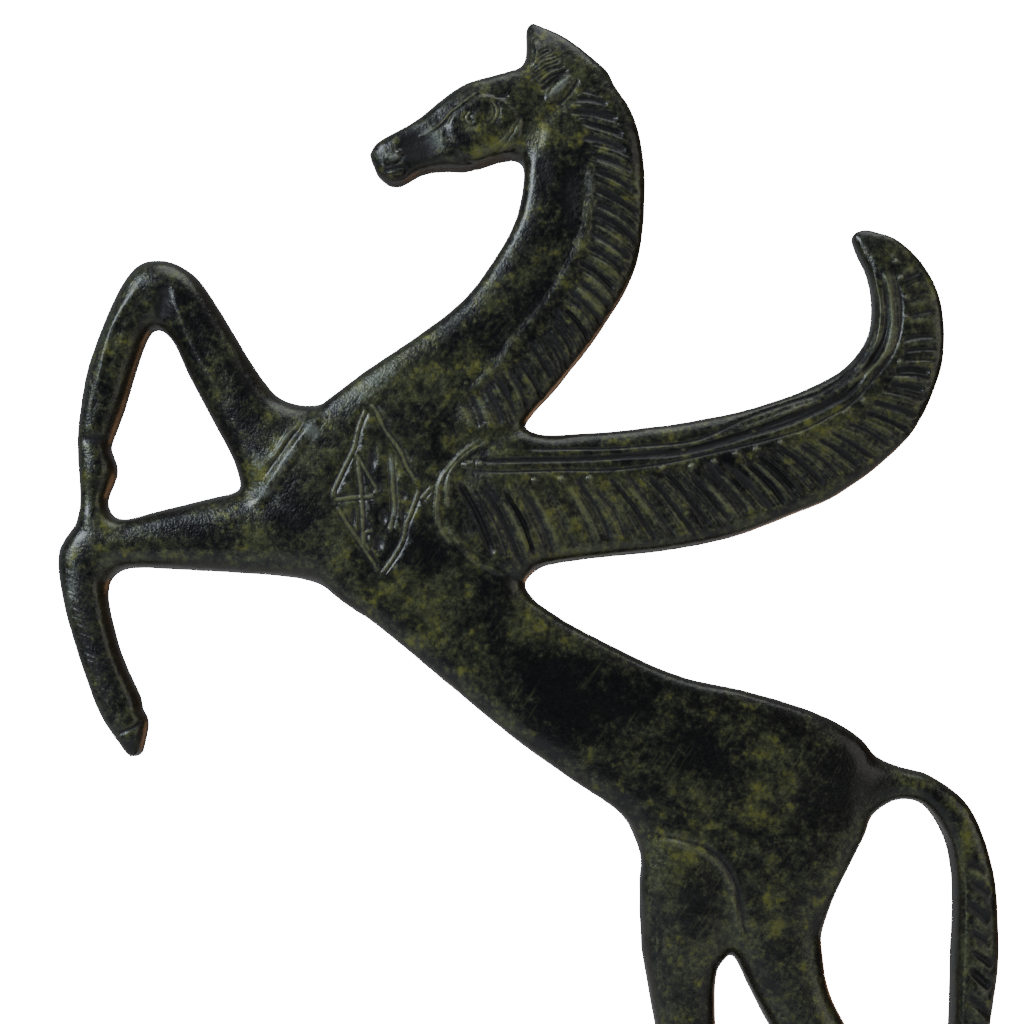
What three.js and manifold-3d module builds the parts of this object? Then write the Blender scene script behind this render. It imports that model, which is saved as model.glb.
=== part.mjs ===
// A flat cast bronze pegasus, rearing on its hind legs, with the low plinth it stands on.
// Millimetres, +Z up. The photographed face looks towards -Y and the head points to -X.
// The origin is at the middle of the plinth's underside.
import * as THREE from 'three';
import { mergeVertices } from 'three/addons/utils/BufferGeometryUtils.js';
import Module from 'manifold-3d';

const wasm = await Module();
wasm.setup();

// Driving dimensions
const PLINTH = { width: 82, depth: 44, height: 15, corner: 4, edge: 1.2 };
const FLOOR = PLINTH.height;      // the hooves and the tip of the tail stand here
const BODY_RIM = 2.1;             // width of the rounded rim round the flat body
const LEG_RIM = 2.9;              // the legs are narrow, so their rims nearly meet
const TAIL_RIM = 1.8;
const WING_RIM = 1.7;
const BEND = THREE.MathUtils.degToRad(15);   // the most that an outline turns between two sections
const MOST_STEPS = 5;
const STROKE_LIFT = 0.2;          // how far a cutter starts above the face it cuts

// Every limb is a bar through ribs: [edge a: x, z, edge b: x, z, half thickness].
// Trunk: edge a is throat, chest and belly, edge b is crest and back.
const TRUNK = [
  [-29.8, 185.2, -16.1, 194.4, 4.0],
  [-29.2, 180.6, -12.6, 188.2, 4.2],
  [-30.3, 173.9, -11.3, 179.2, 4.3],
  [-33.4, 167.9, -12.6, 166.9, 4.3],
  [-38.7, 160.8, -18.0, 157.0, 4.3],
  [-47.3, 154.2, -23.8, 149.4, 4.4],
  [-55.4, 148.6, -29.9, 141.7, 4.5],
  [-64.5, 140.5, -30.9, 134.3, 4.6],
  [-67.5, 131.3, -31.2, 125.2, 4.6],
  [-59.4, 118.7, -29.4, 117.9, 4.6],
  [-50.9, 112.4, -24.1, 113.3, 4.6],
  [-37.4, 101.2, -12.1, 107.1, 4.6],
  [-30.3, 95.4, -5.0, 104.3, 4.7],
  [-23.7, 90.7, 3.5, 102.5, 4.7],
  [-15.1, 84.8, 15.2, 98.7, 4.8],
  [-12.3, 80.2, 21.6, 94.2, 4.8],
  [-10.4, 75.9, 21.7, 88.6, 4.6],
];
// Haunch: from the loin down to the fork of the hind legs.
const HAUNCH = [
  [-17.5, 92.5, 21.5, 92.0, 4.4],
  [-13.8, 83.3, 21.5, 83.8, 4.7],
  [-12.0, 78.3, 18.9, 78.2, 4.7],
  [-12.2, 73.3, 16.3, 73.1, 4.6],
  [-11.5, 67.4, 14.2, 67.8, 4.2],
];
// Near hind leg: its thigh is an arch that stands a little proud of the haunch.
const NEAR_HIND = [
  [-10.9, 80.3, -4.8, 79.9, 4.9],
  [-11.6, 78.2, -1.6, 78.1, 5.0],
  [-12.1, 75.3, 0.7, 75.6, 5.0],
  [-12.2, 71.1, 1.7, 71.4, 4.9],
  [-12.0, 67.4, 1.6, 67.2, 4.7],
  [-11.8, 64.2, 0.7, 64.3, 4.5],
  [-11.3, 61.3, -1.2, 61.3, 4.3],
  [-10.1, 54.3, -1.4, 54.3, 4.0],
  [-8.2, 45.6, -0.6, 46.2, 3.7],
  [-7.3, 39.4, -1.4, 39.4, 3.6],
  [-7.2, 28.8, -2.6, 28.8, 3.4],
  [-7.5, 24.6, -2.0, 24.2, 3.5],
  [-7.7, 21.8, -2.6, 21.0, 3.4],
  [-10.5, FLOOR, -2.3, FLOOR, 3.9],
];
const FAR_HIND = [
  [-3.3, 74.8, 17.2, 74.9, 4.6],
  [-1.0, 66.7, 14.5, 67.8, 4.5],
  [1.8, 63.6, 14.4, 64.0, 4.4],
  [3.8, 59.4, 15.3, 58.6, 4.2],
  [6.6, 54.0, 17.5, 54.0, 4.0],
  [11.7, 45.0, 21.9, 46.2, 3.8],
  [13.2, 39.4, 20.9, 39.7, 3.6],
  [13.1, 28.6, 18.0, 28.3, 3.4],
  [12.7, 24.9, 18.4, 24.7, 3.5],
  [12.4, 22.1, 17.3, 21.2, 3.4],
  [9.6, FLOOR, 17.6, FLOOR, 3.9],
];
// Tail: out of the croup, over in a tight arch and down to the plinth.
const TAIL = [
  [11.7, 96.9, 14.4, 80.8, 3.6],
  [20.1, 94.2, 20.5, 83.2, 3.6],
  [23.5, 92.4, 22.7, 85.1, 3.5],
  [26.7, 91.2, 25.9, 86.8, 3.3],
  [30.9, 89.9, 29.9, 86.0, 3.3],
  [36.3, 85.5, 33.0, 81.3, 3.4],
  [39.2, 78.2, 34.1, 76.0, 3.5],
  [40.1, 71.5, 34.2, 70.4, 3.7],
  [40.1, 62.4, 33.8, 62.8, 3.8],
  [38.7, 53.0, 33.4, 53.4, 3.8],
  [36.3, 36.0, 31.7, 36.2, 3.7],
  [33.8, 22.8, 30.0, 22.8, 3.4],
  [32.3, FLOOR, 29.1, FLOOR, 3.2],
];
const HEAD = [
  [-19.5, 194.7, -23.7, 178.6, 3.6],
  [-26.0, 198.2, -27.1, 181.8, 3.8],
  [-30.0, 196.6, -31.2, 183.4, 3.9],
  [-34.1, 195.4, -35.1, 182.5, 4.0],
  [-38.3, 194.1, -38.4, 181.6, 3.9],
  [-41.6, 191.8, -41.1, 181.7, 3.8],
  [-45.7, 188.5, -44.8, 181.2, 3.5],
  [-49.6, 186.3, -47.8, 179.4, 3.4],
  [-51.6, 185.1, -49.6, 179.3, 3.1],
  [-52.6, 183.6, -51.4, 180.6, 2.4],
];
const FORELOCK = [
  [-28.9, 203.1, -28.1, 203.7, 1.8],
  [-28.8, 200.8, -23.1, 201.3, 2.8],
  [-29.0, 197.8, -18.5, 197.6, 3.6],
  [-29.7, 195.7, -16.1, 194.5, 3.8],
  [-26.8, 190.8, -16.1, 187.6, 3.8],
];
// Raised foreleg: out of the shoulder to the knee and down to a hoof that meets the other foreleg.
const RAISED_FORELEG = [
  [-69.8, 129.0, -57.5, 145.3, 4.3],
  [-71.7, 133.4, -64.7, 145.8, 4.2],
  [-73.2, 138.0, -68.9, 149.3, 4.0],
  [-79.4, 149.5, -76.4, 161.4, 3.9],
  [-82.0, 155.0, -80.0, 165.7, 3.9],
  [-84.3, 157.2, -84.5, 167.4, 3.9],
  [-86.2, 156.3, -89.0, 165.1, 3.8],
  [-88.1, 150.9, -94.0, 154.0, 3.6],
  [-89.7, 145.3, -95.8, 145.7, 3.6],
  [-91.3, 140.8, -96.2, 141.2, 3.5],
  [-91.8, 139.0, -96.2, 138.9, 3.4],
  [-90.7, 135.7, -96.0, 135.5, 3.6],
  [-92.2, 131.0, -95.7, 130.8, 3.4],
  [-90.5, 127.9, -96.2, 127.1, 3.8],
  [-87.4, 125.2, -96.0, 122.9, 3.8],
];
// Low foreleg: level from the chest to the knee, then down to a free pointed hoof.
const LOW_FORELEG = [
  [-56.5, 134.1, -55.2, 117.0, 4.4],
  [-68.3, 133.5, -62.5, 119.5, 4.3],
  [-73.2, 132.1, -71.5, 120.4, 4.1],
  [-84.0, 129.4, -84.0, 121.1, 3.9],
  [-89.6, 128.1, -87.6, 121.2, 3.9],
  [-94.5, 128.7, -89.9, 120.8, 3.9],
  [-97.8, 125.5, -91.5, 119.3, 3.9],
  [-98.9, 122.0, -91.9, 117.8, 3.9],
  [-97.8, 115.1, -91.5, 114.4, 3.8],
  [-95.7, 108.1, -89.6, 107.7, 3.7],
  [-93.5, 101.9, -86.9, 102.0, 3.5],
  [-92.5, 99.7, -86.5, 99.9, 3.4],
  [-91.6, 98.0, -85.6, 98.3, 3.5],
  [-89.6, 95.2, -86.0, 95.4, 3.2],
  [-88.0, 93.0, -86.6, 93.1, 2.5],
];
// Wing: edge a is the leading edge, edge b the trailing edge. Its root lies on the shoulder.
const WING = [
  [-41.0, 134.5, -41.4, 129.0, 3.2],
  [-39.2, 137.9, -39.7, 124.5, 4.3],
  [-35.3, 140.4, -35.4, 120.2, 4.9],
  [-29.8, 141.6, -30.0, 119.0, 5.0],
  [-26.2, 140.7, -26.3, 121.6, 4.6],
  [-16.5, 141.2, -15.0, 123.1, 4.1],
  [-8.9, 142.1, -6.5, 124.1, 3.9],
  [-1.4, 143.3, 2.3, 126.0, 3.8],
  [5.5, 145.0, 10.0, 128.9, 3.7],
  [13.1, 147.7, 18.4, 132.7, 3.5],
  [19.1, 151.1, 27.9, 140.5, 3.3],
  [22.5, 155.7, 32.6, 149.4, 3.1],
  [23.3, 160.7, 33.5, 156.5, 3.0],
  [22.6, 165.2, 32.1, 164.0, 2.8],
  [20.8, 169.2, 27.3, 170.0, 2.3],
  [20.1, 171.3, 22.3, 172.0, 1.7],
];

// Carving, cut into both faces. Places along a limb count its ribs; places across run from 0 to 1.
const MANE = {
  first: 0.1, last: 5.6, strokes: 24, inner: [0.54, 0.72], outer: 0.94, slant: 0.7, width: 1.4, depth: 0.6,
};
const TOPKNOT = {
  first: 0.9, last: 2.6, strokes: 4, inner: [0.4, 0.4], outer: 0.92, slant: 0.35, width: 1.2, depth: 0.5,
};
const FEATHERS = {
  first: 2.6, last: 12.6, strokes: 21, inner: [0.36, 0.36], outer: 0.93, slant: 0.9, width: 1.7, depth: 0.65,
};
const TAIL_STROKES = {
  first: 6.6, last: 11.4, strokes: 10, inner: [0.8, 0.8], outer: 0.16, slant: 0.3, width: 1.2, depth: 0.5,
};
const WING_GROOVES = { first: 2.2, last: 13.6, step: 0.6, across: [0.14, 0.29], width: 1.1, depth: 0.5 };
const EYE = { x: -35.5, z: 190.3, length: 4.2, height: 3.6, proud: 0.55 };
const EAR = { x: -24.6, z: 194.3, length: 5.4, height: 2.2, proud: 0.5, tilt: -0.52 };
const LINE = { width: 1.0, depth: 0.4 };
const CHEEK = [[-30.6, 190.2], [-29.9, 188.0], [-31.4, 185.6], [-34.4, 183.6], [-38.0, 182.8]];
const MOUTH = [[-52.2, 182.3], [-50.2, 182.2], [-48.4, 182.9]];
const HARNESS = [
  [[-52.5, 145.0], [-54.7, 138.6], [-57.8, 132.3], [-54.6, 124.4], [-50.9, 119.6]],
  [[-52.5, 145.0], [-49.1, 139.8], [-45.4, 133.1], [-47.2, 127.7], [-50.9, 119.6]],
  [[-54.4, 138.2], [-51.7, 132.0], [-47.0, 128.0]],
];

// A Catmull-Rom value through four neighbours, t from 0 to 1 between the middle two.
function catmull(p0, p1, p2, p3, t) {
  const a = 2 * p1;
  const b = p2 - p0;
  const c = 2 * p0 - 5 * p1 + 4 * p2 - p3;
  const d = -p0 + 3 * p1 - 3 * p2 + p3;
  return 0.5 * (a + b * t + c * t * t + d * t * t * t);
}

// The rib at a place s along a limb, between the ribs that are written down.
function ribAt(ribs, s) {
  const last = ribs.length - 1;
  const i = Math.min(Math.floor(s), last - 1);
  const before = i > 0 ? ribs[i - 1] : ribs[0].map((v, k) => 2 * v - ribs[1][k]);
  const after = i + 2 <= last ? ribs[i + 2] : ribs[last].map((v, k) => 2 * v - ribs[last - 1][k]);
  return ribs[i].map((v, k) => catmull(before[k], v, ribs[i + 1][k], after[k], s - i));
}

// How far one edge of a limb turns between two ribs.
function turn(ribs, i, edge) {
  const heading = (s) => {
    const [from, to] = [ribAt(ribs, s - 0.01), ribAt(ribs, s + 0.01)];
    return Math.atan2(to[edge + 1] - from[edge + 1], to[edge] - from[edge]);
  };
  const angle = Math.abs(heading(i + 0.99) - heading(i + 0.02));
  return Math.min(angle, 2 * Math.PI - angle);
}

// The ring of points round a limb at one rib: a flat bar with rounded rims.
function section([ax, az, bx, bz, thick], rim) {
  const half = Math.hypot(bx - ax, bz - az) / 2;
  const round = Math.min(rim, 0.85 * half) / half;
  const corner = [[1, 0.4], [1 - 0.28 * round, 0.79], [1 - round, 1]];
  const mirrored = corner.map(([u, v]) => [-u, v]).reverse();
  const front = [...corner, ...mirrored];
  const ring = [...front, ...front.map(([u, v]) => [u, -v]).reverse()];
  return ring.map(([u, v]) => new THREE.Vector3(
    (ax + bx) / 2 + u * (bx - ax) / 2,
    v * thick,
    (az + bz) / 2 + u * (bz - az) / 2,
  ));
}

// A closed mesh from rings of equal length, with a flat cap on the first and the last.
function loft(rings) {
  const sides = rings[0].length;
  const index = [];
  for (let i = 0; i + 1 < rings.length; i++) {
    for (let k = 0; k < sides; k++) {
      const a = i * sides + k;
      const b = i * sides + (k + 1) % sides;
      index.push(a, b, b + sides, a, b + sides, a + sides);
    }
  }
  const end = (rings.length - 1) * sides;
  for (let k = 1; k + 1 < sides; k++) {
    index.push(0, k + 1, k);
    index.push(end, end + k, end + k + 1);
  }
  const geometry = new THREE.BufferGeometry().setFromPoints(rings.flat());
  geometry.setIndex(index);
  return geometry;
}

function volumeOf(geometry) {
  const position = geometry.getAttribute('position');
  const index = geometry.getIndex();
  const [a, b, c] = [new THREE.Vector3(), new THREE.Vector3(), new THREE.Vector3()];
  let sum = 0;
  for (let i = 0; i < index.count; i += 3) {
    a.fromBufferAttribute(position, index.getX(i));
    b.fromBufferAttribute(position, index.getX(i + 1));
    c.fromBufferAttribute(position, index.getX(i + 2));
    sum += a.dot(b.cross(c)) / 6;
  }
  return sum;
}

// Turns a closed geometry into a solid; one whose faces point in is turned out first.
function solid(geometry) {
  const bare = geometry.clone();
  bare.deleteAttribute('normal');
  bare.deleteAttribute('uv');
  const merged = mergeVertices(bare);
  const index = Array.from(merged.getIndex().array);
  if (volumeOf(merged) < 0) {
    index.reverse();
  }
  return new wasm.Manifold(new wasm.Mesh({
    numProp: 3,
    vertProperties: new Float32Array(merged.getAttribute('position').array),
    triVerts: new Uint32Array(index),
  }));
}

function toGeometry(manifold) {
  const mesh = manifold.getMesh();
  const geometry = new THREE.BufferGeometry();
  geometry.setAttribute('position', new THREE.BufferAttribute(new Float32Array(mesh.vertProperties), 3));
  geometry.setIndex(Array.from(mesh.triVerts));
  return geometry;
}

function limb(ribs, rim) {
  const rings = [];
  for (let i = 0; i + 1 < ribs.length; i++) {
    const bend = Math.max(turn(ribs, i, 0), turn(ribs, i, 2));
    const steps = THREE.MathUtils.clamp(Math.ceil(bend / BEND), 1, MOST_STEPS);
    for (let k = 0; k < steps; k++) {
      rings.push(section(ribAt(ribs, i + k / steps), rim));
    }
  }
  rings.push(section(ribs[ribs.length - 1], rim));
  return solid(loft(rings));
}

// A place on a limb's flat face: s along it, u across it from edge a to edge b.
function onFace(ribs, s, u) {
  const [ax, az, bx, bz, thick] = ribAt(ribs, s);
  return { x: ax + u * (bx - ax), z: az + u * (bz - az), face: thick };
}

// A V-shaped cut along a path on one face (side -1 front, +1 back), running out at both ends.
function cut(path, { width, depth }, side) {
  const tip = ({ x, z, face }) => new THREE.Vector3(x, side * (face + STROKE_LIFT), z);
  const points = [tip(path[0])];
  for (let i = 1; i + 1 < path.length; i++) {
    const { x, z, face } = path[i];
    const along = new THREE.Vector2(path[i + 1].x - path[i - 1].x, path[i + 1].z - path[i - 1].z).normalize();
    const reach = (width / 2) * (1 + STROKE_LIFT / depth);
    points.push(
      new THREE.Vector3(x - along.y * reach, side * (face + STROKE_LIFT), z + along.x * reach),
      new THREE.Vector3(x, side * (face - depth), z),
      new THREE.Vector3(x + along.y * reach, side * (face + STROKE_LIFT), z - along.x * reach),
    );
  }
  points.push(tip(path[path.length - 1]));
  const last = points.length - 1;
  const index = [];
  for (let k = 0; k < 3; k++) {
    const next = (k + 1) % 3;
    index.push(0, 1 + k, 1 + next);
    index.push(last, last - 3 + next, last - 3 + k);
    for (let i = 1; i + 5 <= last; i += 3) {
      index.push(i + k, i + 3 + k, i + 3 + next, i + k, i + 3 + next, i + next);
    }
  }
  const geometry = new THREE.BufferGeometry().setFromPoints(points);
  geometry.setIndex(index);
  return solid(geometry);
}

// A row of slanting strokes on a limb, each a path of start, deepest place and end.
function strokes(ribs, { first, last, strokes: count, inner, outer, slant }) {
  const paths = [];
  for (let k = 0; k < count; k++) {
    const along = k / (count - 1);
    const s = first + (last - first) * along;
    const start = THREE.MathUtils.lerp(inner[0], inner[1], along);
    const place = (t) => onFace(ribs, s + slant * t, THREE.MathUtils.lerp(start, outer, t));
    paths.push([place(0), place(0.55), place(1)]);
  }
  return paths;
}

// A long groove that keeps its place across a limb.
function grooves(ribs, { first, last, step, across }) {
  return across.map((u) => {
    const path = [];
    for (let s = first; s <= last; s += step) {
      path.push(onFace(ribs, s, u));
    }
    return path;
  });
}

// A carved line whose points are given as x and z, on a face of one height.
const lineOn = (face) => (points) => points.map(([x, z]) => ({ x, z, face }));

// A low bead, such as the eyeball or the ear, that stands proud of the face.
function bead({ x, z, length, height, proud, tilt = 0 }, face, side) {
  const geometry = new THREE.SphereGeometry(1, 10, 6);
  geometry.rotateX(Math.PI / 2);
  geometry.scale(length / 2, 2 * proud, height / 2);
  geometry.rotateY(tilt);
  geometry.translate(x, side * (face - proud), z);
  return solid(geometry);
}

function pegasus() {
  const limbs = [
    limb(TRUNK, BODY_RIM),
    limb(HAUNCH, BODY_RIM),
    limb(NEAR_HIND, LEG_RIM),
    limb(FAR_HIND, LEG_RIM),
    limb(TAIL, TAIL_RIM),
    limb(HEAD, BODY_RIM),
    limb(FORELOCK, BODY_RIM),
    limb(RAISED_FORELEG, LEG_RIM),
    limb(LOW_FORELEG, LEG_RIM),
    limb(WING, WING_RIM),
  ];
  let body = limbs.reduce((whole, next) => whole.add(next));
  const onHead = lineOn(3.9);
  const onMuzzle = lineOn(3.3);
  const onShoulder = lineOn(4.6);
  for (const side of [-1, 1]) {
    const cutters = [
      ...strokes(TRUNK, MANE).map((path) => cut(path, MANE, side)),
      ...strokes(FORELOCK, TOPKNOT).map((path) => cut(path, TOPKNOT, side)),
      ...strokes(WING, FEATHERS).map((path) => cut(path, FEATHERS, side)),
      ...grooves(WING, WING_GROOVES).map((path) => cut(path, WING_GROOVES, side)),
      ...strokes(TAIL, TAIL_STROKES).map((path) => cut(path, TAIL_STROKES, side)),
      cut(onHead(CHEEK), LINE, side),
      cut(onMuzzle(MOUTH), LINE, side),
      ...HARNESS.map((line) => cut(onShoulder(line), LINE, side)),
    ];
    for (const cutter of cutters) {
      body = body.subtract(cutter);
    }
    body = body.add(bead(EYE, 3.9, side)).add(bead(EAR, 4.0, side));
  }
  return toGeometry(body);
}

// The plinth: a plain slab with rounded corners and softened edges.
function plinth() {
  const { width, depth, height, corner, edge } = PLINTH;
  const [w, d] = [width / 2 - edge, depth / 2 - edge];
  const shape = new THREE.Shape();
  const turnAt = (x, y, from) => shape.absarc(x, y, corner, from, from + Math.PI / 2, false);
  turnAt(w - corner, d - corner, 0);
  turnAt(corner - w, d - corner, Math.PI / 2);
  turnAt(corner - w, corner - d, Math.PI);
  turnAt(w - corner, corner - d, 1.5 * Math.PI);
  const slab = new THREE.ExtrudeGeometry(shape, {
    depth: height - 2 * edge,
    bevelThickness: edge,
    bevelSize: edge,
    bevelSegments: 2,
    curveSegments: 5,
  });
  slab.translate(0, 0, edge);
  return toGeometry(solid(slab));
}

const bronze = new THREE.MeshStandardMaterial({ color: 0x23261b, roughness: 0.38, metalness: 0.75 });
const darkBronze = new THREE.MeshStandardMaterial({ color: 0x1b1d17, roughness: 0.42, metalness: 0.75 });

function piece(name, geometry, material) {
  const mesh = new THREE.Mesh(geometry, material);
  mesh.name = name;
  return mesh;
}

const object = new THREE.Group();
object.add(piece('pegasus', pegasus(), bronze));
object.add(piece('plinth', plinth(), darkBronze));
object.updateMatrixWorld(true);

export default object;
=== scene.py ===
# %% [markdown]
# # A cast bronze pegasus
# The object is a flat figure, about as thick as a finger, cast in one piece and then worked with
# chisel and file. In Blender such a casting is easiest to make the way the founder's wax was made:
# first the whole body as one soft shape, then the carving in its skin, and the colour last.
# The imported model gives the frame, so every size below is a real size in its place.

# %% Frame and units
import math

import bpy
import numpy as np
from mathutils import Matrix, Vector


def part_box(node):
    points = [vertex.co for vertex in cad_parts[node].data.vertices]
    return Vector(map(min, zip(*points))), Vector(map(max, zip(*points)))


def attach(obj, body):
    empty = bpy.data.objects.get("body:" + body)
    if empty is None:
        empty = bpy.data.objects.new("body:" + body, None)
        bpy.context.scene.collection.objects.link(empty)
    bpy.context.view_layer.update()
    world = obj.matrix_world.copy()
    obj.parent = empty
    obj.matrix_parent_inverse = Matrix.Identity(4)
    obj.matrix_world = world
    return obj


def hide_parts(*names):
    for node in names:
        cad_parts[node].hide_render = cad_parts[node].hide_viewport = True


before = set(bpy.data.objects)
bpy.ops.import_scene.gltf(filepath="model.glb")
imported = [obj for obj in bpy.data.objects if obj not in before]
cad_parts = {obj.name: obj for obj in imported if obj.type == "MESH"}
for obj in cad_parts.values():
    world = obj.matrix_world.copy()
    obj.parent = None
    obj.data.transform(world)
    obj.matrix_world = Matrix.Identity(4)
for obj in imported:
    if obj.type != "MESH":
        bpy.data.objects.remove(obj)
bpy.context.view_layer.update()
MM = 0.001

# %% [markdown]
# ## Camera
# The picture was taken level with the horse's chest, from a little over a third of a metre away,
# and it cuts off the feet. The same place and lens are set by their real sizes, so that the
# outline of the model can be laid over the picture.

# %% Camera
CAMERA_PLACE = Vector((-28.8, -360.0, 101.25)) * MM
CAMERA_AIM = Vector((-31.2, 0.0, 129.45)) * MM
SENSOR = 36.0
LENS = 84.635

lens = bpy.data.cameras.new("camera")
lens.sensor_fit = "HORIZONTAL"
lens.sensor_width = SENSOR
lens.lens = LENS
lens.clip_start = 0.01
camera = bpy.data.objects.new("camera", lens)
camera.location = CAMERA_PLACE
camera.rotation_euler = (CAMERA_AIM - CAMERA_PLACE).to_track_quat("-Z", "Y").to_euler()
bpy.context.scene.collection.objects.link(camera)
bpy.context.scene.camera = camera
print("the camera stands", round((CAMERA_AIM - CAMERA_PLACE).length, 3), "m from the figure")

# %% [markdown]
# ## Light and surroundings
# The dark skin shows its form mostly by what it mirrors. A small cool window stands to the upper left
# and in front, so that slopes tilted some twenty degrees that way light up, and the flat faces stay
# black with a few bright grains. The walls beside and behind are mirrored by the rounded rims alone:
# those to the upper left are pale and cool and draw a thin bright outline, those to the lower right
# are dim and brown. A weak warm light from behind gives the thin line under the belly.

# %% Lights
FIGURE_MIDDLE = Vector((-30.0, 0.0, 115.0)) * MM
LIGHTS = {
    "window": {"place": (-470, -480, 420), "size": 190, "watts": 4.0, "colour": (0.82, 0.90, 1.0)},
    "fill": {"place": (460, -420, 240), "size": 420, "watts": 0.9, "colour": (1.0, 0.97, 0.90)},
    "top": {"place": (40, -160, 640), "size": 380, "watts": 1.4, "colour": (0.95, 0.98, 1.0)},
    "warm_edge": {"place": (160, 320, 20), "size": 200, "watts": 0.1, "colour": (1.0, 0.55, 0.28)},
}
for name, light in LIGHTS.items():
    lamp = bpy.data.lights.new(name, "AREA")
    lamp.size = light["size"] * MM
    lamp.energy = light["watts"]
    lamp.color = light["colour"]
    stand = bpy.data.objects.new(name, lamp)
    stand.location = Vector(light["place"]) * MM
    stand.rotation_euler = (FIGURE_MIDDLE - stand.location).to_track_quat("-Z", "Y").to_euler()
    stand.visible_camera = False
    bpy.context.scene.collection.objects.link(stand)
print(len(LIGHTS), "soft lights")

# %% [markdown]
# ## Shader expressions
# A patina is many soft masks laid over each other. Written out as nodes that is hard to read, so a
# small class wraps a socket and lets Python's own signs add the Math nodes. Everything else, such
# as noise, ramps and mixes, comes from one method that takes the node's type, settings and inputs.

# %% Shader helpers
class Term:
    """A number that varies over the surface, and takes part in sums and products."""

    def __init__(self, finish, socket):
        self.finish = finish
        self.socket = socket

    def math(self, operation, *others):
        inputs = dict(enumerate((self, *others)))
        return self.finish.node("ShaderNodeMath", {"operation": operation}, inputs)

    def __add__(self, other):
        return self.math("ADD", other)

    def __sub__(self, other):
        return self.math("SUBTRACT", other)

    def __rsub__(self, other):
        return self.finish.node("ShaderNodeMath", {"operation": "SUBTRACT"}, {0: other, 1: self})

    def __mul__(self, other):
        return self.math("MULTIPLY", other)

    __radd__ = __add__
    __rmul__ = __mul__


class Finish:
    """The nodes of a material or of the world, and the shader that they feed."""

    def __init__(self, holder, shader, place):
        self.holder = holder
        holder.use_nodes = True
        self.tree = holder.node_tree
        self.shader = self.tree.nodes[shader]
        self.place = self.node("ShaderNodeTexCoord", {}, {}, place)

    def put(self, socket, value):
        if isinstance(value, Term):
            self.tree.links.new(value.socket, socket)
        else:
            socket.default_value = value

    def node(self, kind, settings, inputs, output=0):
        made = self.tree.nodes.new(kind)
        for setting, value in settings.items():
            setattr(made, setting, value)
        for socket, value in inputs.items():
            self.put(made.inputs[socket], value)
        return Term(self, made.outputs[output])

    def set(self, **inputs):
        """Feeds the shader's own sockets: Base_Color is the socket named Base Color."""
        for socket, value in inputs.items():
            self.put(self.shader.inputs[socket.replace("_", " ")], value)

    def noise(self, size, detail=4.0, roughness=0.6, seed=0, long=1.0, tilt=0.0):
        """Noise from about 0 to 1, in blotches of size millimetres, drawn out long times along a tilt."""
        settings = {"vector_type": "TEXTURE"}
        turn = (0, -math.radians(tilt), 0)
        scale = (size * MM * long, size * MM, size * MM)
        start = (seed * 0.31, seed * 0.17, seed * 0.23)
        inputs = {"Vector": self.place, "Location": start, "Rotation": turn, "Scale": scale}
        place = self.node("ShaderNodeMapping", settings, inputs)
        inputs = {"Vector": place, "Scale": 1.0, "Detail": detail, "Roughness": roughness}
        return self.node("ShaderNodeTexNoise", {}, inputs)

    def step(self, value, low, high):
        """A soft step: 0 below low, 1 above high."""
        inputs = {"Value": value, "From Min": low, "From Max": high}
        return self.node("ShaderNodeMapRange", {"interpolation_type": "SMOOTHSTEP"}, inputs)

    def blend(self, share, under, over):
        """The colour under, covered by the colour over where share is 1."""
        inputs = {"Factor": share, "A": under, "B": over}
        return self.node("ShaderNodeMix", {"data_type": "RGBA"}, inputs, "Result")

    def attribute(self, name):
        return self.node("ShaderNodeAttribute", {"attribute_name": name}, {}, "Fac")

    def bump(self, height, distance, under=None):
        inputs = {"Height": height, "Distance": distance}
        if under is not None:
            inputs["Normal"] = under
        return self.node("ShaderNodeBump", {}, inputs)


def colour(red, green, blue):
    """A colour written as on a screen, 0 to 255, in the linear values that a shader takes."""
    def linear(c):
        c = c / 255
        return c / 12.92 if c <= 0.04045 else ((c + 0.055) / 1.055) ** 2.4
    return (linear(red), linear(green), linear(blue), 1.0)


def material(name):
    """A new material's finish, placed by Object coordinates."""
    return Finish(bpy.data.materials.new(name), "Principled BSDF", "Object")


print("shader helpers are ready")

# %% World
COOL_WALL = colour(150, 158, 166)
WARM_WALL = colour(74, 60, 50)
ROOM = colour(18, 18, 19)
BACKDROP = (1.0, 1.0, 1.0, 1.0)
BACKDROP_STRENGTH = 24.0
world = bpy.data.worlds.new("studio")
bpy.context.scene.world = world
studio = Finish(world, "Background", "Generated")
across, towards, up = (studio.node("ShaderNodeSeparateXYZ", {}, {0: studio.place}, k) for k in range(3))
seen = studio.node("ShaderNodeLightPath", {}, {}, "Is Camera Ray")
walls = studio.blend(studio.step(up * 0.7 - across * 0.7, -0.5, 0.8), WARM_WALL, COOL_WALL)
around = studio.blend(studio.step(towards, -0.4, 0.2), ROOM, walls)
studio.set(Color=studio.blend(seen, around, BACKDROP), Strength=seen * (BACKDROP_STRENGTH - 1) + 1)
print("cool light from the upper left, dim brown from the lower right, white for the camera")

# %% Floor
FLOOR_RADIUS = 390 * MM
bpy.ops.object.select_all(action="DESELECT")
bpy.ops.mesh.primitive_circle_add(vertices=96, radius=FLOOR_RADIUS, fill_type="NGON", location=(0, 0, -0.0001))
floor = bpy.context.object
floor.name = "floor"
paper = material("pale_floor")
paper.set(Base_Color=colour(226, 224, 220), Roughness=0.7)
floor.data.materials.append(paper.holder)
print("a pale floor", round(2 * FLOOR_RADIUS, 2), "m across")

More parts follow.
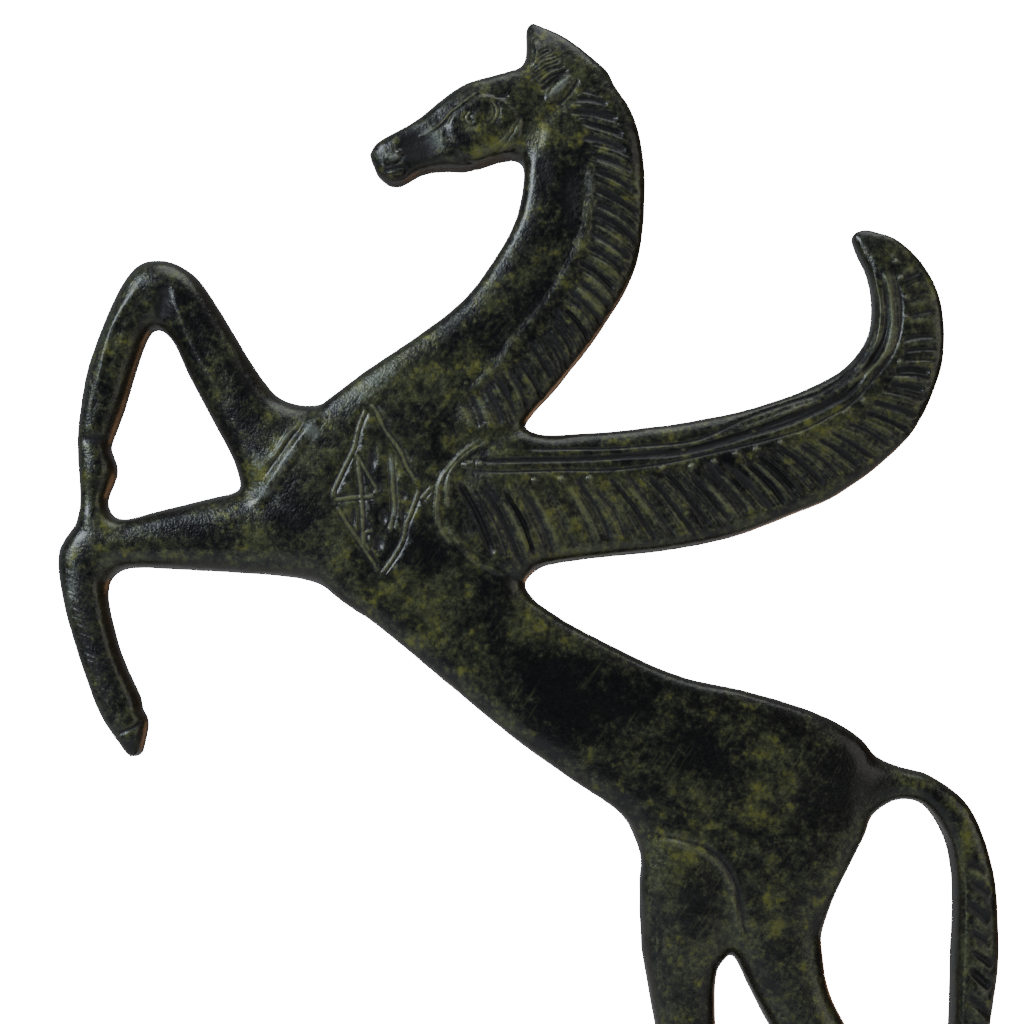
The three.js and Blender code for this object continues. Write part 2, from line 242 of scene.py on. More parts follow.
# %% [markdown]
# ## Limbs
# Each limb is a bar whose two edges are drawn as curves. Where the edges are known, so is the bar:
# a rib joins one edge to the other, and holds half of the thickness there. One could draw the
# outline as a flat curve and extrude it, but then all of the figure would be one board. Instead a
# circle is squared off a little, laid on the first rib, and extruded from rib to rib, moved, turned
# and resized each time, so legs come out round and the trunk comes out flat with a soft rim.

# %% Ribs
# A rib is [edge a: x, z, edge b: x, z, half thickness], in millimetres.
PLINTH_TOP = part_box("plinth")[1].z / MM
TRUNK = [
    [-29.8, 185.2, -16.1, 194.4, 4.0],
    [-29.2, 180.6, -12.6, 188.2, 4.2],
    [-30.3, 173.9, -11.3, 179.2, 4.3],
    [-33.4, 167.9, -12.6, 166.9, 4.3],
    [-38.7, 160.8, -18.0, 157.0, 4.3],
    [-47.3, 154.2, -23.8, 149.4, 4.4],
    [-55.4, 148.6, -29.9, 141.7, 4.5],
    [-64.5, 140.5, -30.9, 134.3, 4.6],
    [-67.5, 131.3, -31.2, 125.2, 4.6],
    [-59.4, 118.7, -29.4, 117.9, 4.6],
    [-50.9, 112.4, -24.1, 113.3, 4.6],
    [-37.4, 101.2, -12.1, 107.1, 4.6],
    [-30.3, 95.4, -5.0, 104.3, 4.7],
    [-23.7, 90.7, 3.5, 102.5, 4.7],
    [-15.1, 84.8, 15.2, 98.7, 4.8],
    [-12.3, 80.2, 21.6, 94.2, 4.8],
    [-10.4, 75.9, 21.7, 88.6, 4.6],
]
HAUNCH = [
    [-17.5, 92.5, 21.5, 92.0, 4.4],
    [-13.8, 83.3, 21.5, 83.8, 4.7],
    [-12.0, 78.3, 18.9, 78.2, 4.7],
    [-12.2, 73.3, 16.3, 73.1, 4.6],
    [-11.5, 67.4, 14.2, 67.8, 4.2],
]
NEAR_HIND = [
    [-10.9, 80.3, -4.8, 79.9, 4.9],
    [-11.6, 78.2, -1.6, 78.1, 5.0],
    [-12.1, 75.3, 0.7, 75.6, 5.0],
    [-12.2, 71.1, 1.7, 71.4, 4.9],
    [-12.0, 67.4, 1.6, 67.2, 4.7],
    [-11.8, 64.2, 0.7, 64.3, 4.5],
    [-11.3, 61.3, -1.2, 61.3, 4.3],
    [-10.1, 54.3, -1.4, 54.3, 4.0],
    [-8.2, 45.6, -0.6, 46.2, 3.7],
    [-7.3, 39.4, -1.4, 39.4, 3.6],
    [-7.2, 28.8, -2.6, 28.8, 3.4],
    [-7.5, 24.6, -2.0, 24.2, 3.5],
    [-7.7, 21.8, -2.6, 21.0, 3.4],
    [-10.5, PLINTH_TOP, -2.3, PLINTH_TOP, 3.9],
]
FAR_HIND = [
    [-3.3, 74.8, 17.2, 74.9, 4.6],
    [-1.0, 66.7, 14.5, 67.8, 4.5],
    [1.8, 63.6, 14.4, 64.0, 4.4],
    [3.8, 59.4, 15.3, 58.6, 4.2],
    [6.6, 54.0, 17.5, 54.0, 4.0],
    [11.7, 45.0, 21.9, 46.2, 3.8],
    [13.2, 39.4, 20.9, 39.7, 3.6],
    [13.1, 28.6, 18.0, 28.3, 3.4],
    [12.7, 24.9, 18.4, 24.7, 3.5],
    [12.4, 22.1, 17.3, 21.2, 3.4],
    [9.6, PLINTH_TOP, 17.6, PLINTH_TOP, 3.9],
]
TAIL = [
    [11.7, 96.9, 14.4, 80.8, 3.6],
    [20.1, 94.2, 20.5, 83.2, 3.6],
    [23.5, 92.4, 22.7, 85.1, 3.5],
    [26.7, 91.2, 25.9, 86.8, 3.3],
    [30.9, 89.9, 29.9, 86.0, 3.3],
    [36.3, 85.5, 33.0, 81.3, 3.4],
    [39.2, 78.2, 34.1, 76.0, 3.5],
    [40.1, 71.5, 34.2, 70.4, 3.7],
    [40.1, 62.4, 33.8, 62.8, 3.8],
    [38.7, 53.0, 33.4, 53.4, 3.8],
    [36.3, 36.0, 31.7, 36.2, 3.7],
    [33.8, 22.8, 30.0, 22.8, 3.4],
    [32.3, PLINTH_TOP, 29.1, PLINTH_TOP, 3.2],
]
HEAD = [
    [-19.5, 194.7, -23.7, 178.6, 3.6],
    [-26.0, 198.2, -27.1, 181.8, 3.8],
    [-30.0, 196.6, -31.2, 183.4, 3.9],
    [-34.1, 195.4, -35.1, 182.5, 4.0],
    [-38.3, 194.1, -38.4, 181.6, 3.9],
    [-41.6, 191.8, -41.1, 181.7, 3.8],
    [-45.7, 188.5, -44.8, 181.2, 3.5],
    [-49.6, 186.3, -47.8, 179.4, 3.4],
    [-51.6, 185.1, -49.6, 179.3, 3.1],
    [-52.6, 183.6, -51.4, 180.6, 2.4],
]
FORELOCK = [
    [-28.9, 203.1, -28.1, 203.7, 1.8],
    [-28.8, 200.8, -23.1, 201.3, 2.8],
    [-29.0, 197.8, -18.5, 197.6, 3.6],
    [-29.7, 195.7, -16.1, 194.5, 3.8],
    [-26.8, 190.8, -16.1, 187.6, 3.8],
]
RAISED_FORELEG = [
    [-69.8, 129.0, -57.5, 145.3, 4.3],
    [-71.7, 133.4, -64.7, 145.8, 4.2],
    [-73.2, 138.0, -68.9, 149.3, 4.0],
    [-79.4, 149.5, -76.4, 161.4, 3.9],
    [-82.0, 155.0, -80.0, 165.7, 3.9],
    [-84.3, 157.2, -84.5, 167.4, 3.9],
    [-86.2, 156.3, -89.0, 165.1, 3.8],
    [-88.1, 150.9, -94.0, 154.0, 3.6],
    [-89.7, 145.3, -95.8, 145.7, 3.6],
    [-91.3, 140.8, -96.2, 141.2, 3.5],
    [-91.8, 139.0, -96.2, 138.9, 3.4],
    [-90.7, 135.7, -96.0, 135.5, 3.6],
    [-92.2, 131.0, -95.7, 130.8, 3.4],
    [-90.5, 127.9, -96.2, 127.1, 3.8],
    [-87.4, 125.2, -96.0, 122.9, 3.8],
]
LOW_FORELEG = [
    [-56.5, 134.1, -55.2, 117.0, 4.4],
    [-68.3, 133.5, -62.5, 119.5, 4.3],
    [-73.2, 132.1, -71.5, 120.4, 4.1],
    [-84.0, 129.4, -84.0, 121.1, 3.9],
    [-89.6, 128.1, -87.6, 121.2, 3.9],
    [-94.5, 128.7, -89.9, 120.8, 3.9],
    [-97.8, 125.5, -91.5, 119.3, 3.9],
    [-98.9, 122.0, -91.9, 117.8, 3.9],
    [-97.8, 115.1, -91.5, 114.4, 3.8],
    [-95.7, 108.1, -89.6, 107.7, 3.7],
    [-93.5, 101.9, -86.9, 102.0, 3.5],
    [-92.5, 99.7, -86.5, 99.9, 3.4],
    [-91.6, 98.0, -85.6, 98.3, 3.5],
    [-89.6, 95.2, -86.0, 95.4, 3.2],
    [-88.0, 93.0, -86.6, 93.1, 2.5],
]
WING = [
    [-41.0, 134.5, -41.4, 129.0, 3.2],
    [-39.2, 137.9, -39.7, 124.5, 4.3],
    [-35.3, 140.4, -35.4, 120.2, 4.9],
    [-29.8, 141.6, -30.0, 119.0, 5.0],
    [-26.2, 140.7, -26.3, 121.6, 4.6],
    [-16.5, 141.2, -15.0, 123.1, 4.1],
    [-8.9, 142.1, -6.5, 124.1, 3.9],
    [-1.4, 143.3, 2.3, 126.0, 3.8],
    [5.5, 145.0, 10.0, 128.9, 3.7],
    [13.1, 147.7, 18.4, 132.7, 3.5],
    [19.1, 151.1, 27.9, 140.5, 3.3],
    [22.5, 155.7, 32.6, 149.4, 3.1],
    [23.3, 160.7, 33.5, 156.5, 3.0],
    [22.6, 165.2, 32.1, 164.0, 2.8],
    [20.8, 169.2, 27.3, 170.0, 2.3],
    [20.1, 171.3, 22.3, 172.0, 1.7],
]
# How square each limb's section is: 2 is an ellipse, and more is a flatter bar.
LIMBS = {
    "trunk": (TRUNK, 6.5),
    "haunch": (HAUNCH, 6.5),
    "near_hind": (NEAR_HIND, 3.0),
    "far_hind": (FAR_HIND, 3.0),
    "tail": (TAIL, 3.4),
    "head": (HEAD, 4.6),
    "forelock": (FORELOCK, 5.0),
    "raised_foreleg": (RAISED_FORELEG, 2.8),
    "low_foreleg": (LOW_FORELEG, 2.8),
    "wing": (WING, 5.6),
}
print(sum(len(ribs) for ribs, _ in LIMBS.values()), "ribs in", len(LIMBS), "limbs")


# %% Curves through ribs
def through(rows, s):
    """The Catmull-Rom value at place s, from 0 to the last row, through rows of numbers."""
    rows = np.asarray(rows, float)
    last = len(rows) - 1
    i = min(int(s), last - 1)
    a = rows[i - 1] if i > 0 else 2 * rows[0] - rows[1]
    b = rows[i]
    c = rows[i + 1]
    d = rows[i + 2] if i + 2 <= last else 2 * rows[last] - rows[last - 1]
    t = s - i
    return 0.5 * (2 * b + (c - a) * t + (2 * a - 5 * b + 4 * c - d) * t**2 + (3 * b - a - 3 * c + d) * t**3)


def curve(points, pieces=5):
    """Points close together on a smooth curve through a few."""
    places = np.linspace(0, len(points) - 1, (len(points) - 1) * pieces + 1)
    return np.array([through(points, s) for s in places])


# %% Limb
SECTION_SIDES = 28
RINGS_PER_RIB = 5


def square_off(mesh, fullness):
    """Turns a unit circle into a rounded bar's section."""
    for vertex in mesh.vertices:
        angle = math.atan2(vertex.co.y, vertex.co.x)
        c, s = math.cos(angle), math.sin(angle)
        power = 2 / fullness
        vertex.co.x = math.copysign(abs(c) ** power, c)
        vertex.co.y = math.copysign(abs(s) ** power, s)


def pose(ring):
    """Middle, half width, half thickness and turn of a ring, in metres and radians."""
    ax, az, bx, bz, thick = ring * MM
    middle = Vector(((ax + bx) / 2, 0, (az + bz) / 2))
    return middle, math.hypot(bx - ax, bz - az) / 2, thick, math.atan2(bz - az, bx - ax)


def limb(name, ribs, fullness):
    """A closed bar, extruded ring by ring."""
    bpy.ops.object.select_all(action="DESELECT")
    bpy.ops.mesh.primitive_circle_add(vertices=SECTION_SIDES, radius=1, fill_type="NGON")
    bar = bpy.context.object
    bar.name = name
    square_off(bar.data, fullness)
    rings = curve(ribs, RINGS_PER_RIB)
    middle, wide, thick, turn = pose(rings[0])
    bpy.ops.object.mode_set(mode="EDIT")
    bpy.ops.mesh.select_all(action="SELECT")
    bpy.ops.transform.resize(value=(wide, thick, 1), center_override=(0, 0, 0))
    bpy.ops.transform.rotate(value=turn, orient_axis="Y", center_override=(0, 0, 0))
    bpy.ops.transform.translate(value=middle)
    for ring in rings[1:]:
        before = (middle, wide, thick, turn)
        middle, wide, thick, turn = pose(ring)
        lean = (turn - before[3] + math.pi) % (2 * math.pi) - math.pi
        frame_of_ring = Matrix.Rotation(-turn, 3, "Y")
        bpy.ops.mesh.extrude_region_move(TRANSFORM_OT_translate={"value": middle - before[0]})
        bpy.ops.transform.rotate(value=lean, orient_axis="Y", center_override=middle)
        bpy.ops.transform.resize(
            value=(wide / before[1], thick / before[2], 1),
            orient_type="GLOBAL",
            orient_matrix=frame_of_ring,
            orient_matrix_type="GLOBAL",
            center_override=middle,
        )
    bpy.ops.mesh.select_all(action="SELECT")
    bpy.ops.mesh.normals_make_consistent(inside=False)
    bpy.ops.object.mode_set(mode="OBJECT")
    return bar


bars = [limb(name, ribs, fullness) for name, (ribs, fullness) in LIMBS.items()]
for bar in bars:
    print(bar.name, len(bar.data.vertices), "vertices,", round(bar.dimensions.z / MM, 1), "mm high")

# %% [markdown]
# ## One casting
# The bars still pass through each other. A boolean would leave a crease wherever two meet, and a
# casting has none, so the bars are joined and turned into one skin by a voxel remesh, with a grid
# of half a millimetre. A few rounds of smoothing then take away the steps, with more of them where
# the metal ran together: in the crotch, at the root of the tail, in the corners of the wing. What the
# smoothing took off the edges is put back, and two soft noises make the faces as uneven as a casting.


# %% Remesh and fillets
VOXEL = 0.5 * MM
SMOOTHED_AWAY = 0.22
WAVES = [("large_waves", 6.0, 0.22), ("small_waves", 1.7, 0.09)]
FILLETS = [
    (2.6, 67.6, 5.5), (22.6, 84.4, 6.5), (22.0, 94.0, 6.0), (22.5, 89.5, 9.0), (17.5, 90.5, 7.0), (-27.6, 141.4, 6.5), (-28.5, 119.6, 5.5),
    (-63.4, 145.6, 6.0), (-71.5, 133.0, 5.5), (-90.4, 127.5, 4.0), (-90.6, 119.4, 4.5),
    (-29.5, 184.4, 4.5), (-29.6, 197.6, 3.0), (-61.0, 118.8, 6.0), (-13.0, 80.5, 4.0),
]


def apply(piece, kind, **settings):
    """Adds a modifier, sets it and applies it."""
    bpy.ops.object.select_all(action="DESELECT")
    piece.select_set(True)
    bpy.context.view_layer.objects.active = piece
    bpy.ops.object.modifier_add(type=kind)
    modifier = piece.modifiers[-1]
    for setting, value in settings.items():
        setattr(modifier, setting, value)
    bpy.ops.object.modifier_apply(modifier=modifier.name)


def places(piece):
    """The x, y and z of every vertex, in millimetres."""
    co = np.empty(len(piece.data.vertices) * 3, np.float32)
    piece.data.vertices.foreach_get("co", co)
    return co.reshape(-1, 3).astype(float) / MM


def put_places(piece, co):
    piece.data.vertices.foreach_set("co", (co * MM).astype(np.float32).ravel())
    piece.data.update()


def normals(piece):
    flat = np.empty(len(piece.data.vertices) * 3, np.float32)
    piece.data.vertex_normals.foreach_get("vector", flat)
    return flat.reshape(-1, 3).astype(float)


def soft_step(value, low, high):
    t = np.clip((value - low) / (high - low), 0, 1)
    return t * t * (3 - 2 * t)


bpy.ops.object.select_all(action="DESELECT")
for bar in bars:
    bar.select_set(True)
bpy.context.view_layer.objects.active = bars[0]
bpy.ops.object.join()
pegasus = bpy.context.object
pegasus.name = "pegasus_cast"
pegasus.data.name = "pegasus_cast"
apply(pegasus, "REMESH", mode="VOXEL", voxel_size=VOXEL)
apply(pegasus, "SMOOTH", factor=0.5, iterations=4)
co = places(pegasus)
nearness = np.zeros(len(co))
for x, z, reach in FILLETS:
    far = np.hypot(co[:, 0] - x, co[:, 2] - z)
    nearness = np.maximum(nearness, 1 - soft_step(far, 0.3 * reach, reach))
fillets = pegasus.vertex_groups.new(name="fillets")
for i in np.nonzero(nearness > 0.01)[0]:
    fillets.add([int(i)], float(nearness[i]), "REPLACE")
apply(pegasus, "SMOOTH", factor=0.6, iterations=30, vertex_group="fillets")
pegasus.vertex_groups.remove(pegasus.vertex_groups["fillets"])
put_places(pegasus, places(pegasus) + SMOOTHED_AWAY * normals(pegasus))
for name, size, strength in WAVES:
    clouds = bpy.data.textures.new(name, "CLOUDS")
    clouds.noise_scale = size * MM
    apply(pegasus, "DISPLACE", texture=clouds, strength=strength * MM, mid_level=0.5)
print("one skin of", len(pegasus.data.vertices), "vertices")

# %% [markdown]
# ## Finer skin where it is carved
# The strokes of the mane and the feathers are half a millimetre wide, finer than the grid. Only the
# carved places are cut finer, in edit mode, and the front, which is carved best, finer than the
# back. Cutting the whole figure as fine would need millions of faces for nothing.

# %% Carved zones
MANE_ZONE = [(-29.5, 204.5), (-15.0, 199.5), (-10.0, 186.0), (-10.0, 172.0), (-16.5, 157.5), (-29.0, 141.5),
             (-41.5, 142.5), (-42.0, 148.0), (-29.0, 160.5), (-23.0, 172.0), (-25.5, 186.0), (-30.5, 195.0)]
HEAD_ZONE = [(-30.0, 198.5), (-37.0, 196.0), (-54.0, 186.5), (-54.0, 178.0), (-44.0, 179.5), (-28.0, 182.0),
             (-23.0, 186.0), (-23.0, 196.0)]
WING_ZONE = [(-44.5, 141.5), (-28.5, 143.0), (1.5, 145.0), (19.0, 152.0), (21.5, 158.0), (19.0, 172.5),
             (27.5, 172.5), (35.0, 158.0), (30.0, 140.5), (11.0, 128.0), (-14.0, 121.5), (-30.0, 117.5), (-43.5, 121.5)]
HARNESS_ZONE = [(-60.0, 148.0), (-45.0, 144.5), (-43.5, 120.0), (-50.5, 117.5), (-59.5, 128.0), (-72.0, 128.5),
                (-62.0, 147.0)]
TAIL_ZONE = [(32.0, 84.0), (41.5, 84.0), (42.0, 50.0), (36.0, 22.0), (29.0, 22.0), (32.5, 52.0)]
THIGH_ZONE = [(-13.0, 83.0), (-2.0, 82.0), (4.0, 76.0), (6.0, 64.0), (-2.0, 62.0), (-13.0, 66.0)]
FORELEG_ZONE = [(-99.5, 127.0), (-90.0, 127.0), (-90.0, 112.0), (-84.0, 97.0), (-90.0, 92.0), (-97.0, 108.0)]
ZONES = [MANE_ZONE, HEAD_ZONE, WING_ZONE, HARNESS_ZONE, TAIL_ZONE, THIGH_ZONE, FORELEG_ZONE]


def inside(zone, x, z):
    """Which places lie inside a closed outline."""
    crossings = np.zeros(x.shape, int)
    for (x1, z1), (x2, z2) in zip(zone, zone[1:] + zone[:1]):
        spans = (z1 > z) != (z2 > z)
        at = x1 + (z - z1) * (x2 - x1) / (z2 - z1 if z2 != z1 else 1e-9)
        crossings += spans & (x < at)
    return crossings % 2 == 1


def cut_finer(piece, side, cuts):
    """Subdivides the faces of the carved zones on one side, -1 for the front and 1 for the back."""
    faces = piece.data.polygons
    middle = np.empty(len(faces) * 3, np.float32)
    faces.foreach_get("center", middle)
    middle = middle.reshape(-1, 3).astype(float) / MM
    facing = np.empty(len(faces) * 3, np.float32)
    faces.foreach_get("normal", facing)
    facing = facing.reshape(-1, 3)
    chosen = np.zeros(len(faces), bool)
    for zone in ZONES:
        chosen |= inside(zone, middle[:, 0], middle[:, 2])
    chosen &= facing[:, 1] * side > 0.35
    bpy.ops.object.select_all(action="DESELECT")
    piece.select_set(True)
    bpy.context.view_layer.objects.active = piece
    bpy.ops.object.mode_set(mode="EDIT")
    bpy.ops.mesh.select_mode(type="FACE")
    bpy.ops.mesh.select_all(action="DESELECT")
    bpy.ops.object.mode_set(mode="OBJECT")
    faces.foreach_set("select", chosen)
    bpy.ops.object.mode_set(mode="EDIT")
    bpy.ops.mesh.subdivide(number_cuts=cuts, smoothness=0)
    bpy.ops.object.mode_set(mode="OBJECT")
    print("side", side, ":", int(chosen.sum()), "faces cut finer")


cut_finer(pegasus, -1, 2)
cut_finer(pegasus, 1, 1)
apply(pegasus, "SMOOTH", factor=0.5, iterations=3)
print(len(pegasus.data.vertices), "vertices to carve")

# %% [markdown]
# ## Carving tools
# A chisel takes metal away along a line and a punch leaves a boss. In sculpt mode each would be a
# brush stroke. Written down, a stroke is a curve, a width and a depth, and each vertex near it is
# moved by how far away it lies. Strokes that cross don't dig twice, so the deepest one counts.


# %% Carving tools
def nearest(line, x, z):
    """How far each place lies from a line of points, and how far along the line that is, 0 to 1."""
    lengths = np.hypot(*(line[1:] - line[:-1]).T)
    starts = np.concatenate([[0], np.cumsum(lengths)])
    gap = np.full(x.shape, np.inf)
    along = np.zeros(x.shape)
    for k, length in enumerate(lengths):
        (x1, z1), (dx, dz) = line[k], line[k + 1] - line[k]
        t = np.clip(((x - x1) * dx + (z - z1) * dz) / max(length**2, 1e-12), 0, 1)
        far = np.hypot(x - x1 - t * dx, z - z1 - t * dz)
        closer = far < gap
        gap = np.where(closer, far, gap)
        along = np.where(closer, (starts[k] + t * length) / starts[-1], along)
    return gap, along


class Relief:
    """The carving of one side: how far each vertex is raised and cut, in millimetres."""

    def __init__(self, x, z):
        self.x = x
        self.z = z
        self.raised = np.zeros(x.shape)
        self.cut = np.zeros(x.shape)
        self.worn_and_lit = np.zeros(x.shape)

    def near(self, points, reach):
        low = points.min(0) - reach
        high = points.max(0) + reach
        return np.nonzero((self.x > low[0]) & (self.x < high[0]) & (self.z > low[1]) & (self.z < high[1]))[0]

    def profile(self, points, width, fade):
        line = curve(points, 4)
        at = self.near(line, width)
        gap, along = nearest(line, self.x[at], self.z[at])
        bell = np.clip(1 - gap / width, 0, 1)
        ends = soft_step(np.minimum(along, 1 - along), 0, fade) if fade else 1
        return at, bell * bell * (3 - 2 * bell) * ends

    def groove(self, points, width, depth, fade=0.15):
        """A cut of half width width along a curve, fading at its ends."""
        at, bell = self.profile(points, width, fade)
        self.cut[at] = np.maximum(self.cut[at], depth * bell)

    def ridge(self, points, width, height, fade=0.15, worn_and_lit=0.5):
        """A raised line. Its crest is lightened by the share lit, partly as wear and partly as a painted highlight."""
        at, bell = self.profile(points, width, fade)
        self.raised[at] = np.maximum(self.raised[at], height * bell)
        self.worn_and_lit[at] = np.maximum(self.worn_and_lit[at], worn_and_lit * bell)

    def boss(self, x, z, length, height_of, proud, tilt=0.0, edge=0.45):
        """A raised oval: edge is the share of its radius over which it rises."""
        c, s = math.cos(tilt), math.sin(tilt)
        dx, dz = self.x - x, self.z - z
        out = np.hypot((dx * c + dz * s) / (length / 2), (dz * c - dx * s) / (height_of / 2))
        self.raised = np.maximum(self.raised, proud * (1 - soft_step(out, 1 - edge, 1)))

    def hollow(self, x, z, length, height_of, deep, tilt=0.0):
        c, s = math.cos(tilt), math.sin(tilt)
        dx, dz = self.x - x, self.z - z
        out = np.hypot((dx * c + dz * s) / (length / 2), (dz * c - dx * s) / (height_of / 2))
        self.cut = np.maximum(self.cut, deep * (1 - soft_step(out, 0.2, 1)))

    def clear(self, x, z, length, height_of, tilt, **rest):
        """Takes back what was carved inside an oval, before something else is carved there."""
        c, s = math.cos(tilt), math.sin(tilt)
        dx, dz = self.x - x, self.z - z
        out = np.hypot((dx * c + dz * s) / (length / 2), (dz * c - dx * s) / (height_of / 2))
        for kept in (self.raised, self.cut, self.worn_and_lit):
            kept *= soft_step(out, 0.9, 1.4)

    def height(self):
        return self.raised - self.cut


def arc_lengths(line):
    return np.concatenate([[0], np.cumsum(np.hypot(*(line[1:] - line[:-1]).T))])


def beside(points, offset):
    """A line that runs beside another at a distance."""
    line = curve(points, 4)
    heading = np.gradient(line, axis=0)
    heading /= np.hypot(*heading.T)[:, None]
    return line + offset * np.column_stack([-heading[:, 1], heading[:, 0]])


def strokes(relief, guides, count, width, depth, rng, crest=0.0, spread=0.15, bow=0.0, fade=0.14):
    """Strokes side by side, laid between a few guide strokes as rings are between ribs."""
    rows = curve(guides, 8)
    along = arc_lengths((rows[:, 0:2] + rows[:, 2:4]) / 2)
    for k in range(count):
        for half in (0, 0.5) if crest else (0,):
            share = (k + 0.5 + half + rng.uniform(-spread, spread)) / count
            x1, z1, x2, z2, strength = (np.interp(share * along[-1], along, column) for column in rows.T)
            span = np.array([x2 - x1, z2 - z1])
            first = np.array([x1, z1]) + span * rng.uniform(-0.08, 0.16)
            last = np.array([x2, z2]) - span * rng.uniform(-0.08, 0.08)
            middle = (first + last) / 2 + np.array([span[1], -span[0]]) * (bow + rng.uniform(-0.03, 0.03))
            strength *= rng.uniform(0.6, 1.15)
            if half:
                relief.ridge([first, middle, last], 1.2 * width, crest * strength, 0.3, rng.uniform(0.2, 0.9))
            else:
                relief.groove([first, middle, last], width * rng.uniform(0.8, 1.25), depth * strength, fade)


print("chisel, ridge, boss and hollow are ready")

# %% [markdown]
# ## Mane
# The crest is a band of locks between a soft raised border on the neck and a plain rim at the back.
# The cuts that part the locks lie nearly level behind the ears and steepen to some sixty degrees
# lower down, so they are laid between guide strokes read off the object at twenty places. Lighter
# cuts split each lock into hairs, and the metal between two cuts is left a little proud.

# %% Mane lines
# A guide stroke is [start x, z, end x, z, strength], in millimetres.
MANE = [
    [-21.1, 193.0, -17.6, 191.7, 0.9], [-23.2, 190.2, -15.5, 189.0, 0.8], [-20.5, 187.5, -14.1, 185.2, 1.2],
    [-20.2, 184.7, -13.4, 182.4, 0.9], [-19.9, 182.4, -12.8, 179.4, 1.1], [-19.6, 179.7, -12.4, 175.8, 1.0],
    [-19.6, 176.7, -12.2, 172.3, 0.9], [-19.9, 173.2, -12.5, 168.1, 0.9], [-20.5, 169.3, -13.7, 164.6, 1.0],
    [-21.1, 167.0, -14.9, 162.2, 1.1], [-22.0, 164.6, -16.2, 159.4, 1.0], [-23.2, 162.2, -17.7, 156.6, 1.1],
    [-24.1, 160.4, -19.6, 154.5, 1.2], [-25.5, 158.4, -21.4, 152.2, 1.1], [-26.7, 156.3, -23.0, 150.2, 0.9],
    [-28.5, 154.2, -24.8, 148.5, 0.8], [-30.6, 152.2, -26.7, 146.1, 0.8], [-32.6, 150.7, -28.8, 144.2, 0.8],
    [-34.7, 148.6, -31.8, 142.4, 1.1], [-36.8, 146.8, -34.3, 141.7, 1.0], [-38.6, 145.4, -37.1, 141.4, 0.8],
]
MANE_CUTS = 23
MANE_HAIRS = 90
MANE_BORDER = [(-19.6, 182.9), (-19.3, 179.7), (-19.3, 176.0), (-19.9, 172.3), (-20.7, 169.3), (-22.3, 166.1),
               (-24.1, 163.0), (-26.1, 160.0), (-28.5, 157.2), (-31.2, 153.8), (-33.2, 150.8), (-36.2, 147.9),
               (-38.9, 145.7)]
TOPKNOT = [
    [-27.5, 193.0, -22.9, 195.8, 1.2], [-28.5, 194.2, -23.6, 196.7, 0.9], [-28.1, 195.7, -24.1, 197.9, 0.9],
    [-27.9, 196.9, -25.1, 198.8, 0.8], [-27.6, 198.3, -25.8, 199.7, 0.7],
]
TOPKNOT_HAIRS = 9
TOPKNOT_FOLD = [(-27.9, 200.7), (-27.3, 198.6), (-27.8, 196.3)]


def mane(relief, rng, fine):
    strokes(relief, MANE, MANE_CUTS, 0.62, 0.5, rng, crest=0.16, spread=0.22, bow=-0.04)
    strokes(relief, TOPKNOT, TOPKNOT_HAIRS, 0.3, 0.24, rng, crest=0.06, bow=-0.08)
    if fine:
        strokes(relief, MANE, MANE_HAIRS, 0.26, 0.2, rng, spread=0.45, bow=-0.04)
    relief.ridge(MANE_BORDER, 1.2, 0.15, 0.1, worn_and_lit=0.4)
    relief.ridge(TOPKNOT_FOLD, 0.5, 0.25, 0.2)


# %% [markdown]
# ## Wing
# Two thin cuts and a wide one run along the leading edge and round the bend. Behind them hang the
# feathers, cut like the mane: steep at the root, flatter further out and level at the bend, deep in
# some places and hardly there in others. A row of small knobs, painted bright as a painted
# highlight, marks their tops, and a double arc bounds the root.

# %% Wing lines
WING_CUT_1 = [(-30.0, 138.4), (-24.0, 138.5), (-16.6, 138.6), (-11.3, 139.0), (-3.6, 139.9), (4.2, 143.4),
              (11.0, 145.8), (14.4, 146.9), (18.6, 149.8), (22.0, 155.0), (23.0, 160.0), (22.6, 165.0)]
WING_RIDGE = [(-14.7, 138.3), (-4.8, 139.1), (4.0, 141.7), (11.6, 144.6), (15.5, 146.1), (20.0, 149.4),
              (23.3, 154.7), (24.0, 160.0), (23.4, 163.5), (22.7, 166.3)]
WING_CUT_2 = [(-37.4, 136.5), (-30.0, 136.8), (-21.1, 137.0), (-14.7, 137.4), (-7.3, 137.9), (-4.8, 138.5),
              (0.3, 139.5), (2.4, 140.2), (8.6, 141.9), (12.6, 143.5), (16.1, 145.2), (19.5, 147.4),
              (23.0, 152.3), (24.3, 154.7), (25.0, 157.4), (25.0, 160.0), (24.6, 163.0), (23.7, 165.6)]
WING_CUT_3 = [(-39.5, 135.4), (-32.9, 135.0), (-24.1, 135.3), (-18.1, 135.3), (-12.2, 135.8), (-6.3, 136.8),
              (-1.1, 138.0), (4.1, 139.2), (8.7, 140.4), (12.6, 141.6), (16.0, 143.4), (19.6, 145.6),
              (24.7, 151.4), (26.4, 154.7), (27.0, 157.4), (27.1, 160.7), (26.5, 163.8), (25.7, 166.5)]
WING_CHANNEL = [(-18.0, 137.3), (-6.3, 138.2), (2.6, 140.5), (8.5, 142.6), (14.4, 144.9), (20.3, 148.9)]
BEND_RIDGE = [(16.6, 146.4), (21.5, 149.8), (24.2, 152.3), (25.5, 156.0), (25.5, 160.4), (24.9, 164.6), (24.0, 167.1)]
ROOT_OUTER = [(-34.9, 140.3), (-37.7, 138.6), (-39.9, 136.4), (-41.7, 133.9), (-42.3, 130.9), (-42.3, 127.9),
              (-41.1, 125.4), (-39.6, 123.8)]
ROOT_INNER = [(-34.4, 139.8), (-38.1, 137.6), (-40.1, 135.4), (-40.8, 133.1), (-40.8, 130.9), (-40.5, 129.1)]
